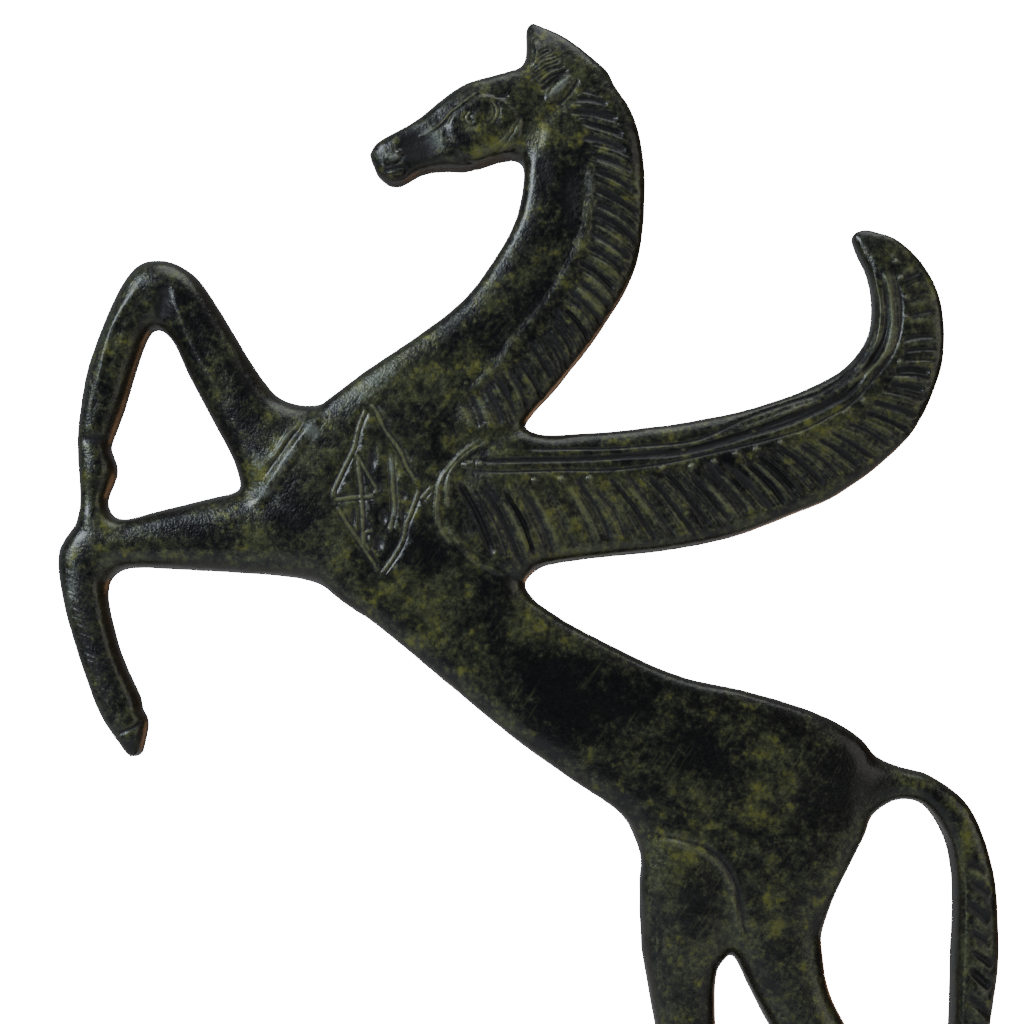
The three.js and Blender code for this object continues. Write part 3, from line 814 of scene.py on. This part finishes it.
FEATHERS = [
    [-40.0, 133.5, -35.3, 123.2, 1.1], [-38.6, 133.5, -33.1, 122.0, 1.3], [-36.5, 133.5, -30.9, 121.8, 1.2],
    [-34.1, 133.8, -28.5, 121.8, 1.1], [-31.8, 134.1, -26.1, 122.4, 1.2], [-28.2, 134.1, -22.7, 123.0, 0.5],
    [-24.1, 134.1, -18.4, 123.6, 0.45], [-20.4, 134.1, -14.6, 124.0, 0.8], [-17.3, 134.1, -10.7, 124.6, 0.8],
    [-12.2, 134.7, -5.1, 125.5, 0.8], [-8.7, 135.3, -1.6, 126.6, 1.0], [-4.8, 135.7, 2.3, 127.6, 1.0],
    [-1.0, 136.5, 6.0, 128.8, 1.1], [2.1, 137.4, 8.9, 130.1, 1.1], [5.1, 138.2, 12.0, 131.6, 1.3],
    [8.5, 139.1, 15.6, 133.2, 1.0], [11.9, 140.5, 19.3, 135.1, 1.0], [15.2, 142.1, 23.3, 137.4, 0.8],
    [18.9, 144.0, 27.0, 140.0, 0.9], [21.2, 145.7, 28.9, 143.0, 0.8], [23.3, 147.6, 30.4, 146.1, 0.9],
    [25.2, 149.6, 31.6, 149.1, 0.9], [26.6, 152.8, 32.3, 153.2, 0.8], [27.4, 156.0, 32.3, 156.8, 0.5],
    [27.7, 159.0, 31.9, 160.0, 0.4], [27.4, 161.9, 31.0, 163.3, 0.4], [26.7, 164.9, 29.4, 166.1, 0.4],
]
FEATHER_CUTS = 31
FEATHER_LINES = 96
KNOBS = [(-8.7, 135.7), (-4.4, 135.9), (-1.1, 136.6), (2.1, 137.8), (5.2, 138.5), (8.8, 139.4), (12.0, 140.9),
         (18.6, 144.2), (21.2, 145.7), (26.8, 151.6), (28.0, 158.4), (27.9, 161.3), (27.3, 164.4), (26.4, 166.8),
         (-27.8, 133.8), (-23.8, 134.0), (-19.6, 134.1), (-35.9, 136.3), (-5.7, 138.4), (4.9, 141.2)]
ROOT_FADE = [(-41.1, 127.9), (-39.6, 125.4), (-38.0, 123.2), (-35.9, 121.5), (-33.4, 120.2), (-31.5, 119.5)]


def wing(relief, rng, fine):
    strokes(relief, FEATHERS, FEATHER_CUTS, 0.6, 0.5, rng, crest=0.15, spread=0.22, bow=-0.03)
    if fine:
        strokes(relief, FEATHERS, FEATHER_LINES, 0.26, 0.2, rng, spread=0.45, bow=-0.03)
    for x, z in KNOBS:
        relief.ridge([(x - 0.1, z), (x + 0.1, z)], 0.55, 0.36, 0, worn_and_lit=1)
    relief.groove(WING_CUT_1, 0.32, 0.25, 0.06)
    relief.groove(WING_CUT_2, 0.62, 0.45, 0.06)
    relief.groove(WING_CHANNEL, 1.0, 0.55, 0.3)
    relief.groove(WING_CUT_3, 0.32, 0.25, 0.06)
    relief.ridge(WING_RIDGE, 0.45, 0.2, 0.08)
    relief.ridge(BEND_RIDGE, 0.8, 0.3, 0.2, worn_and_lit=0.9)
    relief.ridge(ROOT_OUTER, 0.45, 0.24, 0.1, worn_and_lit=0.8)
    relief.ridge(ROOT_INNER, 0.4, 0.22, 0.1, worn_and_lit=0.8)
    relief.ridge(ROOT_FADE, 0.7, 0.2, 0.2, worn_and_lit=0.6)
    relief.boss(-37.7, 136.1, 2.0, 1.3, 0.3)


# %% [markdown]
# ## Head
# The jaw is a flat disc that stands a little proud, bounded by a double arc, and the muzzle falls
# away from it in one lit slope. The eye is a wide low dome inside two thin rings that are open at the
# top. A nostril, a short hooked mouth and a leaf of an ear laid back on the mane complete it.

# %% Head lines
JAW = {"x": -35.3, "z": 186.9, "length": 11.5, "height_of": 10.8, "proud": 0.28, "edge": 0.14}
MUZZLE_SLOPE = {"x": -45.1, "z": 184.1, "length": 8.0, "height_of": 7.5, "deep": 0.45}
EYE = {"x": -36.1, "z": 189.2, "length": 3.8, "height_of": 3.6, "proud": 0.34, "edge": 0.7}
EAR = {"x": -24.2, "z": 193.0, "length": 5.8, "height_of": 2.4, "proud": 0.5, "tilt": 0.77, "edge": 0.5}
HEAD_RIDGES = {
    "jaw outside": [(-39.6, 181.8), (-37.4, 181.5), (-35.5, 181.9), (-33.2, 183.2), (-31.5, 185.0), (-30.3, 186.8),
                    (-29.5, 189.0)],
    "jaw inside": [(-37.7, 183.4), (-35.6, 183.7), (-33.5, 184.3), (-31.9, 185.8), (-30.9, 187.2), (-30.3, 188.7)],
    "eye outside, behind": [(-34.6, 191.4), (-33.7, 190.5), (-33.4, 189.5), (-33.8, 188.3), (-34.7, 187.4)],
    "eye inside, behind": [(-35.0, 190.8), (-34.3, 190.2), (-34.1, 189.3), (-34.4, 188.4), (-35.2, 187.8)],
    "eye outside, in front": [(-37.8, 189.9), (-38.7, 188.7), (-38.4, 187.5), (-37.2, 186.9), (-35.8, 186.9)],
    "eye inside, in front": [(-37.4, 189.5), (-38.0, 188.6), (-37.7, 187.8), (-36.8, 187.5)],
    "forehead": [(-35.9, 192.6), (-37.7, 191.5), (-39.2, 190.3), (-40.6, 189.2), (-41.8, 187.8), (-43.9, 186.4),
                 (-45.7, 185.5)],
}
HEAD_CUTS = {
    "mouth": [(-50.9, 180.4), (-49.2, 180.9), (-47.3, 181.2), (-47.2, 180.3), (-48.0, 179.7), (-49.2, 179.8)],
    "nostril": [(-50.3, 181.5), (-48.5, 181.9), (-47.4, 183.0)],
    "corner of the eye": [(-33.8, 191.8), (-32.8, 191.9), (-31.8, 191.8)],
    "behind the ear": [(-24.7, 190.3), (-22.9, 191.8), (-21.5, 193.9), (-21.5, 194.8)],
    "before the ear": [(-27.0, 192.7), (-25.5, 193.9), (-23.8, 195.4), (-22.6, 196.0)],
}
EAR_FOLD = [(-25.8, 191.5), (-24.4, 193.0), (-22.3, 194.9)]
THROAT = [(-25.7, 187.4), (-26.0, 185.6), (-26.6, 183.4)]


def head(relief):
    relief.clear(**EAR)
    relief.boss(**JAW)
    relief.hollow(**MUZZLE_SLOPE)
    relief.boss(**EYE)
    relief.boss(-49.1, 182.6, 2.3, 1.5, 0.35, edge=0.7)
    relief.boss(-48.0, 183.5, 1.3, 1.0, 0.3, edge=0.7)
    relief.boss(**EAR)
    for line in HEAD_RIDGES.values():
        relief.ridge(line, 0.36, 0.24, 0.12, worn_and_lit=0.9)
        relief.groove(beside(line, 0.42)[::3], 0.28, 0.12, 0.15)
    for line in HEAD_CUTS.values():
        relief.groove(line, 0.36, 0.36, 0.12)
    relief.ridge(EAR_FOLD, 0.6, 0.62, 0.15, worn_and_lit=1)
    relief.ridge(THROAT, 1.0, 0.14, 0.3)
    relief.hollow(-26.3, 180.2, 3.2, 5.4, 0.12)
    relief.hollow(-22.6, 176.5, 3.4, 13.5, 0.08)


# %% [markdown]
# ## Harness, shoulder, thigh and legs
# A lozenge of double lines lies on the shoulder like a harness ornament. The near thigh stands
# proud of the haunch along an arch, and ridges mark the shoulder, the knee and the pasterns.

# %% Body lines
LOZENGE = {
    "upper left": [(-52.8, 144.5), (-53.9, 141.9), (-54.4, 139.7), (-54.8, 138.2), (-55.9, 136.0), (-56.9, 133.8),
                   (-57.7, 131.9), (-57.4, 130.8)],
    "lower left": [(-57.2, 130.1), (-55.9, 127.9), (-54.4, 125.7), (-52.9, 123.4), (-51.4, 121.2), (-50.7, 119.8)],
    "upper right": [(-52.2, 145.4), (-51.0, 143.4), (-50.0, 141.2), (-48.8, 139.7), (-47.7, 138.0), (-46.9, 136.0),
                    (-46.0, 134.6), (-45.1, 133.1)],
    "lower right": [(-44.8, 132.6), (-45.5, 130.8), (-46.3, 128.6), (-46.9, 127.2), (-47.3, 124.9), (-48.5, 122.7),
                    (-50.0, 120.5), (-50.7, 119.5)],
    "post": [(-54.1, 137.5), (-53.8, 134.6), (-53.5, 131.6), (-53.3, 128.6), (-53.2, 126.4), (-53.2, 124.2),
             (-52.2, 122.7)],
    "brace": [(-54.5, 138.0), (-53.3, 136.0), (-52.2, 134.1), (-51.4, 132.6), (-51.3, 131.6)],
    "rail": [(-57.4, 130.9), (-55.9, 131.1), (-54.4, 131.3), (-52.9, 131.3), (-51.4, 131.6)],
    "bar": [(-49.2, 137.5), (-48.9, 134.6), (-48.8, 132.3), (-48.6, 129.4), (-49.1, 127.2), (-49.2, 125.7)],
    "hook": [(-51.7, 126.3), (-52.8, 126.1), (-53.1, 124.9), (-52.2, 123.2)],
    "tang": [(-44.8, 130.9), (-43.9, 131.9), (-42.9, 132.9)],
}
LOZENGE_CELLS = [(-51.9, 137.1, 1.9, 4.6), (-54.6, 128.6, 1.0, 4.2), (-51.0, 124.6, 2.2, 3.2), (-50.2, 128.4, 1.8, 3.0),
                 (-47.3, 131.6, 1.2, 1.8), (-47.2, 128.9, 1.4, 3.2)]
STRAP = 0.4
SHOULDER_RIDGE = [(-62.7, 143.4), (-63.1, 142.0), (-64.8, 140.2), (-66.2, 137.8), (-67.7, 136.3)]
SHOULDER_FOLD = [(-59.6, 144.9), (-61.1, 142.0), (-63.0, 139.3), (-64.8, 136.8), (-66.2, 134.6), (-67.7, 132.3),
                 (-68.8, 130.9), (-70.7, 130.1)]
SHOULDER_CUT = [(-61.9, 142.6), (-63.6, 140.6), (-65.1, 138.3), (-66.9, 135.6), (-68.0, 134.0)]
THIGH_ARCH = [(-11.4, 81.0), (-7.7, 80.5), (-5.0, 79.7), (-2.5, 78.7), (-0.6, 76.8), (0.7, 74.4), (1.3, 71.8),
              (1.7, 69.4), (2.4, 66.8), (3.1, 65.0)]
KNEE_RIDGES = [
    [(-86.2, 164.2), (-90.2, 158.5), (-92.1, 153.1), (-93.3, 145.7)],
    [(-82.2, 163.4), (-81.3, 160.3), (-79.9, 156.2), (-77.5, 151.4), (-73.6, 145.7)],
]
KNEE_RECESS = [(-83.9, 157.4), (-83.5, 160.6), (-83.0, 163.6)]
PASTERN = [(-95.4, 140.3), (-92.4, 140.0), (-90.6, 140.3)]
HOOF = [(-89.4, 96.3), (-86.9, 97.4), (-85.0, 98.7)]
# Where a flat face meets its bevel: [limb, first rib, last rib, share of the way from edge a to b].
FACE_EDGES = [
    (TAIL, 5, 11, 0.8), (NEAR_HIND, 3, 9, 0.15), (RAISED_FORELEG, 6, 9, 0.72), (FAR_HIND, 2, 6, 0.14),
]
FILE_MARKS = [[-98.2, 121.5, -93.6, 119.0, 1.0], [-97.0, 114.5, -92.0, 112.6, 1.0], [-95.0, 108.0, -90.2, 106.2, 0.8],
              [-92.8, 101.8, -87.8, 100.4, 0.6]]
FILE_CUTS = 42


def harness(relief):
    for line in LOZENGE.values():
        relief.ridge(line, 1.2 * STRAP, 0.14, 0.06, worn_and_lit=0.9)
        for side in (-STRAP, STRAP):
            relief.groove(beside(line, side)[::3], 0.24, 0.2, 0.08)
        relief.groove(line, 0.14, 0.1, 0.08)
    for x, z, length, height_of in LOZENGE_CELLS:
        relief.hollow(x, z, length, height_of, 0.32)


def limbs(relief, rng, fine):
    relief.ridge(SHOULDER_RIDGE, 0.6, 0.35, 0.2, worn_and_lit=0.9)
    relief.groove(SHOULDER_CUT, 1.0, 0.16, 0.25)
    relief.ridge(SHOULDER_FOLD, 1.5, 0.5, 0.2, worn_and_lit=0.4)
    relief.ridge(THIGH_ARCH, 0.6, 0.2, 0.15, worn_and_lit=0.7)
    for line in KNEE_RIDGES:
        relief.ridge(line, 0.9, 0.3, 0.2, worn_and_lit=0.3)
    for ribs, first, last, share in FACE_EDGES:
        rows = np.array(ribs[first : last + 1])
        relief.ridge(rows[:, 0:2] + (rows[:, 2:4] - rows[:, 0:2]) * share, 0.5, 0.1, 0.12)
    if fine:
        strokes(relief, FILE_MARKS, FILE_CUTS, 0.22, 0.15, rng, spread=0.3)
    relief.groove(beside(THIGH_ARCH, 0.8)[::3], 0.6, 0.16, 0.2)
    relief.groove(KNEE_RECESS, 1.5, 0.7, 0.4)
    relief.groove(PASTERN, 0.7, 0.4, 0.1)
    relief.groove(HOOF, 0.45, 0.3, 0.1)


# %% Tail strokes
TAIL_STROKES = [
    [35.6, 79.8, 38.7, 77.9, 0.4], [35.6, 74.6, 39.0, 72.2, 0.6], [35.6, 71.2, 39.1, 68.4, 0.9],
    [35.4, 67.9, 39.0, 65.4, 0.6], [35.4, 64.2, 39.4, 61.0, 1.1], [35.4, 61.0, 39.1, 57.7, 1.3],
    [35.3, 57.4, 39.0, 54.2, 1.1], [34.7, 49.4, 38.1, 46.5, 1.0], [34.1, 39.1, 37.2, 36.4, 0.9],
    [33.4, 30.0, 35.4, 28.0, 0.6],
]
TAIL_CUTS = 15


def tail(relief, rng):
    strokes(relief, TAIL_STROKES, TAIL_CUTS, 0.95, 0.5, rng, crest=0.12, spread=0.2, fade=0.25)


# %% Carve both sides
SEED = 7
co = places(pegasus)
facing = normals(pegasus)
# rim marks the faces that turn sideways; the shader paints them brown as a painted reflection.
rim = 1 - soft_step(np.abs(facing[:, 1]), 0.6, 0.88)
height = np.zeros(len(co))
worn_and_lit = np.zeros(len(co))
for side, fine in ((-1, True), (1, False)):
    rng = np.random.default_rng(SEED)
    here = np.nonzero(facing[:, 1] * side > 0.15)[0]
    relief = Relief(co[here, 0], co[here, 2])
    mane(relief, rng, fine)
    wing(relief, rng, fine)
    tail(relief, rng)
    head(relief)
    limbs(relief, rng, fine)
    if fine:
        harness(relief)
    shown = soft_step(facing[here, 1] * side, 0.15, 0.7)
    height[here] = relief.height() * shown
    worn_and_lit[here] = relief.worn_and_lit * shown
    print("side", side, "is carved from", round(relief.cut.max(), 2), "deep to", round(relief.raised.max(), 2))
co += facing * height[:, None]
put_places(pegasus, co)

# %% [markdown]
# ## Where the patina lies
# The colour isn't even: some places are polished black and some are clouded green, and on a few
# slopes a grey painted sheen stands for the light that falls there. A few soft ovals, given one by
# one, say where. They, the cuts, the lit edges and the smooth rim are stored on the vertices as
# numbers, so that the shader can read them. From them it paints shade into the cuts, lightens the
# lit edges partly as wear and partly as a painted highlight, and paints the rim brown as a painted
# reflection.

# %% Ovals of dark, green and painted grey sheen
# An oval is [x, z, length, height, tilt in degrees, strength].
DARK = [
    (-22.6, 176.0, 3.8, 13.0, -4, 1.0), (-26.3, 180.4, 3.0, 5.3, 0, 0.8), (-30.7, 158.7, 12.4, 3.0, 38, 0.9),
    (-62.5, 127.6, 7.7, 8.9, 0, 1.0), (-44.0, 123.7, 7.7, 5.9, 0, 1.2), (-51.9, 135.3, 3.3, 12.4, 0, 0.6),
    (-23.8, 102.7, 20.1, 10.1, -18, 1.3), (-33.7, 110.1, 4.1, 11.8, 10, 0.7), (-14.4, 101.2, 9.5, 7.7, 0, 0.9),
    (-4.1, 93.6, 14.2, 8.3, -10, 1.0), (17.7, 90.2, 12.4, 11.2, 0, 1.0), (-4.1, 71.7, 4.4, 8.9, 0, 1.0),
    (-80.3, 126.4, 13.0, 3.0, -4, 0.5), (-71.7, 145.7, 4.1, 13.0, 24, 0.7), (-77.3, 156.8, 4.1, 10.1, 24, 0.5),
    (-0.4, 133.5, 13.6, 5.9, 8, 0.6), (-38.1, 129.7, 7.7, 7.1, 0, 0.6), (38.1, 62.0, 3.0, 8.9, 0, 0.7),
    (23.3, 87.9, 5.9, 4.7, 0, 0.6), (10.0, 80.5, 7.1, 8.9, 0, 0.5), (-24.1, 169.3, 3.6, 7.1, 20, 0.4),
]
GREEN = [
    (-34.7, 183.8, 8.3, 2.7, 20, 1.0), (-24.1, 185.6, 8.9, 5.3, 0, 0.7), (-69.1, 135.9, 4.7, 7.7, -20, 1.0),
    (-47.4, 117.2, 10.1, 7.1, 0, 0.8), (-43.9, 110.1, 3.0, 2.7, 0, 1.4), (-38.1, 106.9, 4.7, 4.1, 0, 0.8),
    (-19.6, 130.1, 18.4, 8.9, 6, 0.5), (14.7, 141.2, 10.7, 4.7, 20, 0.8), (-24.7, 122.0, 11.8, 4.1, 0, 0.6),
    (-27.0, 111.9, 7.7, 3.6, -20, 0.9), (4.9, 87.6, 7.7, 15.4, 0, 0.7), (6.7, 71.7, 3.6, 5.9, 0, 1.0),
    (-6.3, 79.0, 8.9, 4.1, 0, 0.7), (35.4, 81.7, 2.7, 8.3, 0, 1.0), (-68.8, 125.5, 4.7, 4.1, 0, 1.0),
    (-40.3, 149.8, 10.1, 7.1, 0, 0.6), (-18.1, 160.4, 8.9, 17.8, -20, 0.4), (-56.6, 127.9, 4.7, 10.7, 0, 0.5),
    (-1.6, 98.0, 3.6, 3.0, 0, 0.8), (-15.2, 110.1, 6.5, 3.0, -20, 0.6), (-91.4, 127.9, 3.6, 3.0, 0, 0.8),
    (-87.7, 120.5, 4.7, 2.4, 0, 0.8), (-4.8, 62.8, 5.9, 7.1, 0, 0.4), (26.3, 90.2, 7.7, 2.4, -10, 0.4),
]
# Painted sheen: grey laid where light falls on a slope, such as the muzzle facet, the shoulder ridges, the ear and the
# left sides of the legs.
PAINTED_SHEEN = [
    (-43.0, 185.3, 3.5, 5.0, 45, 1.0), (-60.9, 141.2, 2.6, 3.6, 30, 1.2), (-64.8, 136.8, 9.0, 1.8, 55, 0.9),
    (-65.1, 139.7, 8.0, 0.9, 50, 0.8), (-68.6, 136.8, 2.4, 4.0, 0, 1.0), (-68.2, 132.3, 3.6, 3.0, 0, 0.9),
    (-26.0, 185.6, 1.3, 4.0, -10, 0.7), (-28.2, 178.2, 1.6, 14.0, 0, 0.6), (-30.7, 170.1, 1.8, 10.0, -25, 0.6),
    (-39.6, 157.5, 12.0, 3.0, 42, 0.6), (-52.2, 147.9, 14.0, 3.6, 38, 0.8), (25.2, 157.5, 1.4, 10.0, 0, 0.8),
    (-24.0, 193.2, 4.6, 1.4, 44, 1.3), (-49.1, 136.0, 1.1, 3.8, 0, 1.0), (-48.6, 129.1, 1.0, 2.2, 0, 0.9), (-19.5, 178.2, 1.8, 8.0, 0, 0.6),
    (-21.1, 170.1, 1.8, 6.0, -20, 0.5), (-35.6, 144.9, 2.8, 5.0, -20, 0.7), (-38.9, 143.4, 2.2, 4.0, 0, 0.6),
    (-48.9, 182.7, 2.4, 1.6, 0, 1.0), (-94.5, 148.0, 1.8, 18.0, -14, 0.5), (-87.0, 164.5, 4.0, 3.0, 40, 0.5),
    (-96.5, 118.0, 2.4, 12.0, -8, 0.8), (-84.0, 125.5, 12.0, 1.6, 4, 0.3), (-74.5, 149.5, 4.0, 3.0, 0, 0.4),
]


def ovals(rows, x, z):
    """The strongest oval at each place, with a soft edge."""
    strength = np.zeros(x.shape)
    for cx, cz, length, height_of, tilt, strong in rows:
        c, s = math.cos(math.radians(tilt)), math.sin(math.radians(tilt))
        dx, dz = x - cx, z - cz
        out = np.hypot((dx * c + dz * s) / length, (dz * c - dx * s) / height_of) * 2
        strength = np.maximum(strength, strong * np.exp(-0.9 * out**2))
    return strength


def keep(piece, name, values):
    """Stores one number on each vertex."""
    attribute = piece.data.attributes.new(name, "FLOAT", "POINT")
    attribute.data.foreach_set("value", values.astype(np.float32))


# recess is the depth of the cuts; the shader uses it to paint shade into them.
keep(pegasus, "recess", np.clip(-height / 0.35, 0, 1))
keep(pegasus, "worn_and_lit", np.clip(worn_and_lit, 0, 1))
keep(pegasus, "rim", rim)
tone = ovals(GREEN, co[:, 0], co[:, 2]) - ovals(DARK, co[:, 0], co[:, 2])
keep(pegasus, "tone", np.where(co[:, 1] < 0, tone, 0.4 * tone))
# The painted sheen, weaker on the back.
painted_sheen = ovals(PAINTED_SHEEN, co[:, 0], co[:, 2])
keep(pegasus, "painted_sheen", np.where(co[:, 1] < 0, painted_sheen, 0.3 * painted_sheen))
print("tones from", round(tone.min(), 2), "to", round(tone.max(), 2))

# %% [markdown]
# ## Thin out
# The fine skin has more faces than a part should carry. A decimate keeps the cuts and thins the
# flat places, where one large face shows the same as ten small ones.

# %% Thin out
MOST_TRIANGLES = 190_000
triangles = sum(len(face.vertices) - 2 for face in pegasus.data.polygons)
apply(pegasus, "DECIMATE", decimate_type="COLLAPSE", ratio=MOST_TRIANGLES / triangles)
bpy.ops.object.shade_smooth()
print(triangles, "triangles thinned to", len(pegasus.data.polygons))

# %% [markdown]
# ## Patina
# Copper salts and wax over dark bronze. Seen close, it is soft clouds from blue-black to olive-grey,
# a fine pale grain all over, and flecks of yellow-green where the salts are thick, most of them on
# the crests between cuts. The filed rim is smoother than the faces, and fine scratches run up the
# neck. Each is a noise of its own size through a soft step, and the grain and the scratches also
# feed the bump, so the light breaks up on them. Over this lies painted light: painted shade in the
# cuts, a painted highlight on the crests, which are also a little worn, a grey painted sheen on a
# few slopes, and a brown painted reflection on the rim.

# %% Patina
# Of these colours, black also paints shade into the cuts, the pale one lightens the crests partly as a painted
# highlight, the grey one is a painted sheen and the brown one a painted reflection on the rim.
BLACK = colour(10, 10, 11)
DUSK = colour(34, 36, 30)
OLIVE = colour(56, 60, 40)
PALE = colour(88, 92, 64)
MOSS = colour(104, 106, 34)
SHEEN_GREY = colour(104, 110, 106)
REFLECTED_BROWN = colour(46, 42, 34)
SCRATCH_TILT = 56


def patina(name, lift):
    """Dark bronze, clouded more where lift is higher."""
    finish = material(name)
    recess = finish.attribute("recess")
    worn_and_lit = finish.attribute("worn_and_lit")
    rim = finish.attribute("rim")
    tone = finish.attribute("tone")
    painted_sheen = finish.attribute("painted_sheen")
    big = finish.noise(9.0, 4, 0.6, seed=1)
    mid = finish.noise(2.6, 5, 0.66, seed=2)
    fine = finish.noise(0.8, 3, 0.65, seed=3)
    grain = finish.noise(0.34, 2, 0.6, seed=4)
    fleck = finish.noise(1.5, 5, 0.68, seed=5)
    scratch = finish.noise(0.4, 2, 0.5, seed=6, long=16, tilt=SCRATCH_TILT)
    # The value rises on the lit crests, partly wear and partly a painted highlight, rises under the painted sheen, and
    # falls in the cuts as painted shade.
    value = big * 0.3 + mid * 0.38 + fine * 0.32 + tone * 0.11 + worn_and_lit * 0.05 + painted_sheen * 0.05 - recess * 0.14 + lift
    base = finish.blend(finish.step(value, 0.41, 0.52), BLACK, DUSK)
    base = finish.blend(finish.step(value, 0.46, 0.61), base, OLIVE)
    base = finish.blend(finish.step(value * 0.55 + grain * 0.25 + fine * 0.2, 0.5, 0.66) * 0.75, base, PALE)
    moss = finish.step(fleck * 0.62 + mid * 0.38 + tone * 0.07 + worn_and_lit * 0.05, 0.52, 0.66)
    base = finish.blend(moss * finish.step(value, 0.42, 0.56) * 0.6, base, MOSS)
    # Crests lightened by lit: partly wear, partly a painted highlight.
    base = finish.blend(finish.step(worn_and_lit * 0.5 + fine * 0.5 + grain * 0.2, 0.5, 0.85) * 0.8, base, PALE)
    # Painted sheen: grey where the sheen ovals lie, with grey grain specks all over.
    pale = finish.step(painted_sheen * 0.4 + grain * 0.5 + fine * 0.3, 0.54, 0.84)
    base = finish.blend(pale * 0.75, base, SHEEN_GREY)
    base = finish.blend(finish.step(scratch, 0.56, 0.72) * 0.3 * finish.step(big, 0.42, 0.56), base, PALE)
    # Painted reflection: the rim is painted brown, as the dim brown walls would mirror in it.
    base = finish.blend(rim * 0.8, base, REFLECTED_BROWN)
    # Painted shade: the cuts are darkened toward black.
    base = finish.blend(recess * 0.7, base, BLACK)
    rough = 0.26 + fine * 0.12 + recess * 0.3 + worn_and_lit * 0.12 + moss * 0.1 - rim * 0.04
    bump = finish.bump(mid * 0.4 + fine * 0.6, 0.13 * MM)
    grit = (grain * 0.75 + scratch * 0.25) * (1 - rim * 0.85) * (1 + painted_sheen * 1.2 + recess * 0.6 + worn_and_lit * 0.6)
    bump = finish.bump(grit, 0.075 * MM, bump)
    finish.set(Base_Color=base, Roughness=rough, Metallic=0.3, Normal=bump)
    finish.set(Coat_Weight=0.15, Coat_Roughness=0.15)
    return finish.holder


pegasus.data.materials.clear()
pegasus.data.materials.append(patina("patinated_bronze", 0.0))
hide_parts("pegasus")
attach(pegasus, "root")

# %% [markdown]
# ## Plinth
# A plain slab, cast in the same metal. A cube is stretched to size and bevelled, first its upright
# corners, then its top and bottom edges.

# %% Plinth
CORNER = 4.0 * MM
EDGE = 1.2 * MM
low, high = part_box("plinth")
bpy.ops.object.select_all(action="DESELECT")
bpy.ops.mesh.primitive_cube_add(size=1, location=(low + high) / 2)
plinth = bpy.context.object
plinth.name = "plinth_slab"
plinth.scale = high - low
bpy.ops.object.transform_apply(location=True, rotation=True, scale=True)
bpy.ops.object.mode_set(mode="EDIT")
bpy.ops.mesh.select_mode(type="EDGE")
bpy.ops.mesh.select_all(action="DESELECT")
bpy.ops.object.mode_set(mode="OBJECT")
for edge in plinth.data.edges:
    a, b = (plinth.data.vertices[i].co for i in edge.vertices)
    edge.select = abs(a.z - b.z) > 0.5 * (high.z - low.z)
bpy.ops.object.mode_set(mode="EDIT")
bpy.ops.mesh.bevel(offset=CORNER, segments=10, affect="EDGES")
bpy.ops.object.mode_set(mode="OBJECT")
for edge in plinth.data.edges:
    a, b = (plinth.data.vertices[i].co for i in edge.vertices)
    edge.select = abs(a.z - b.z) < 1e-6
bpy.ops.object.mode_set(mode="EDIT")
bpy.ops.mesh.bevel(offset=EDGE, segments=4, affect="EDGES")
bpy.ops.object.mode_set(mode="OBJECT")
apply(plinth, "REMESH", mode="VOXEL", voxel_size=0.8 * MM)
apply(plinth, "SMOOTH", factor=0.5, iterations=3)
bpy.ops.object.shade_smooth()
for name in ("recess", "worn_and_lit", "rim", "tone", "painted_sheen"):
    keep(plinth, name, np.zeros(len(plinth.data.vertices)))
plinth.data.materials.clear()
plinth.data.materials.append(patina("plinth_bronze", -0.02))
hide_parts("plinth")
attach(plinth, "root")
print("plinth", [round(side / MM, 1) for side in plinth.dimensions])
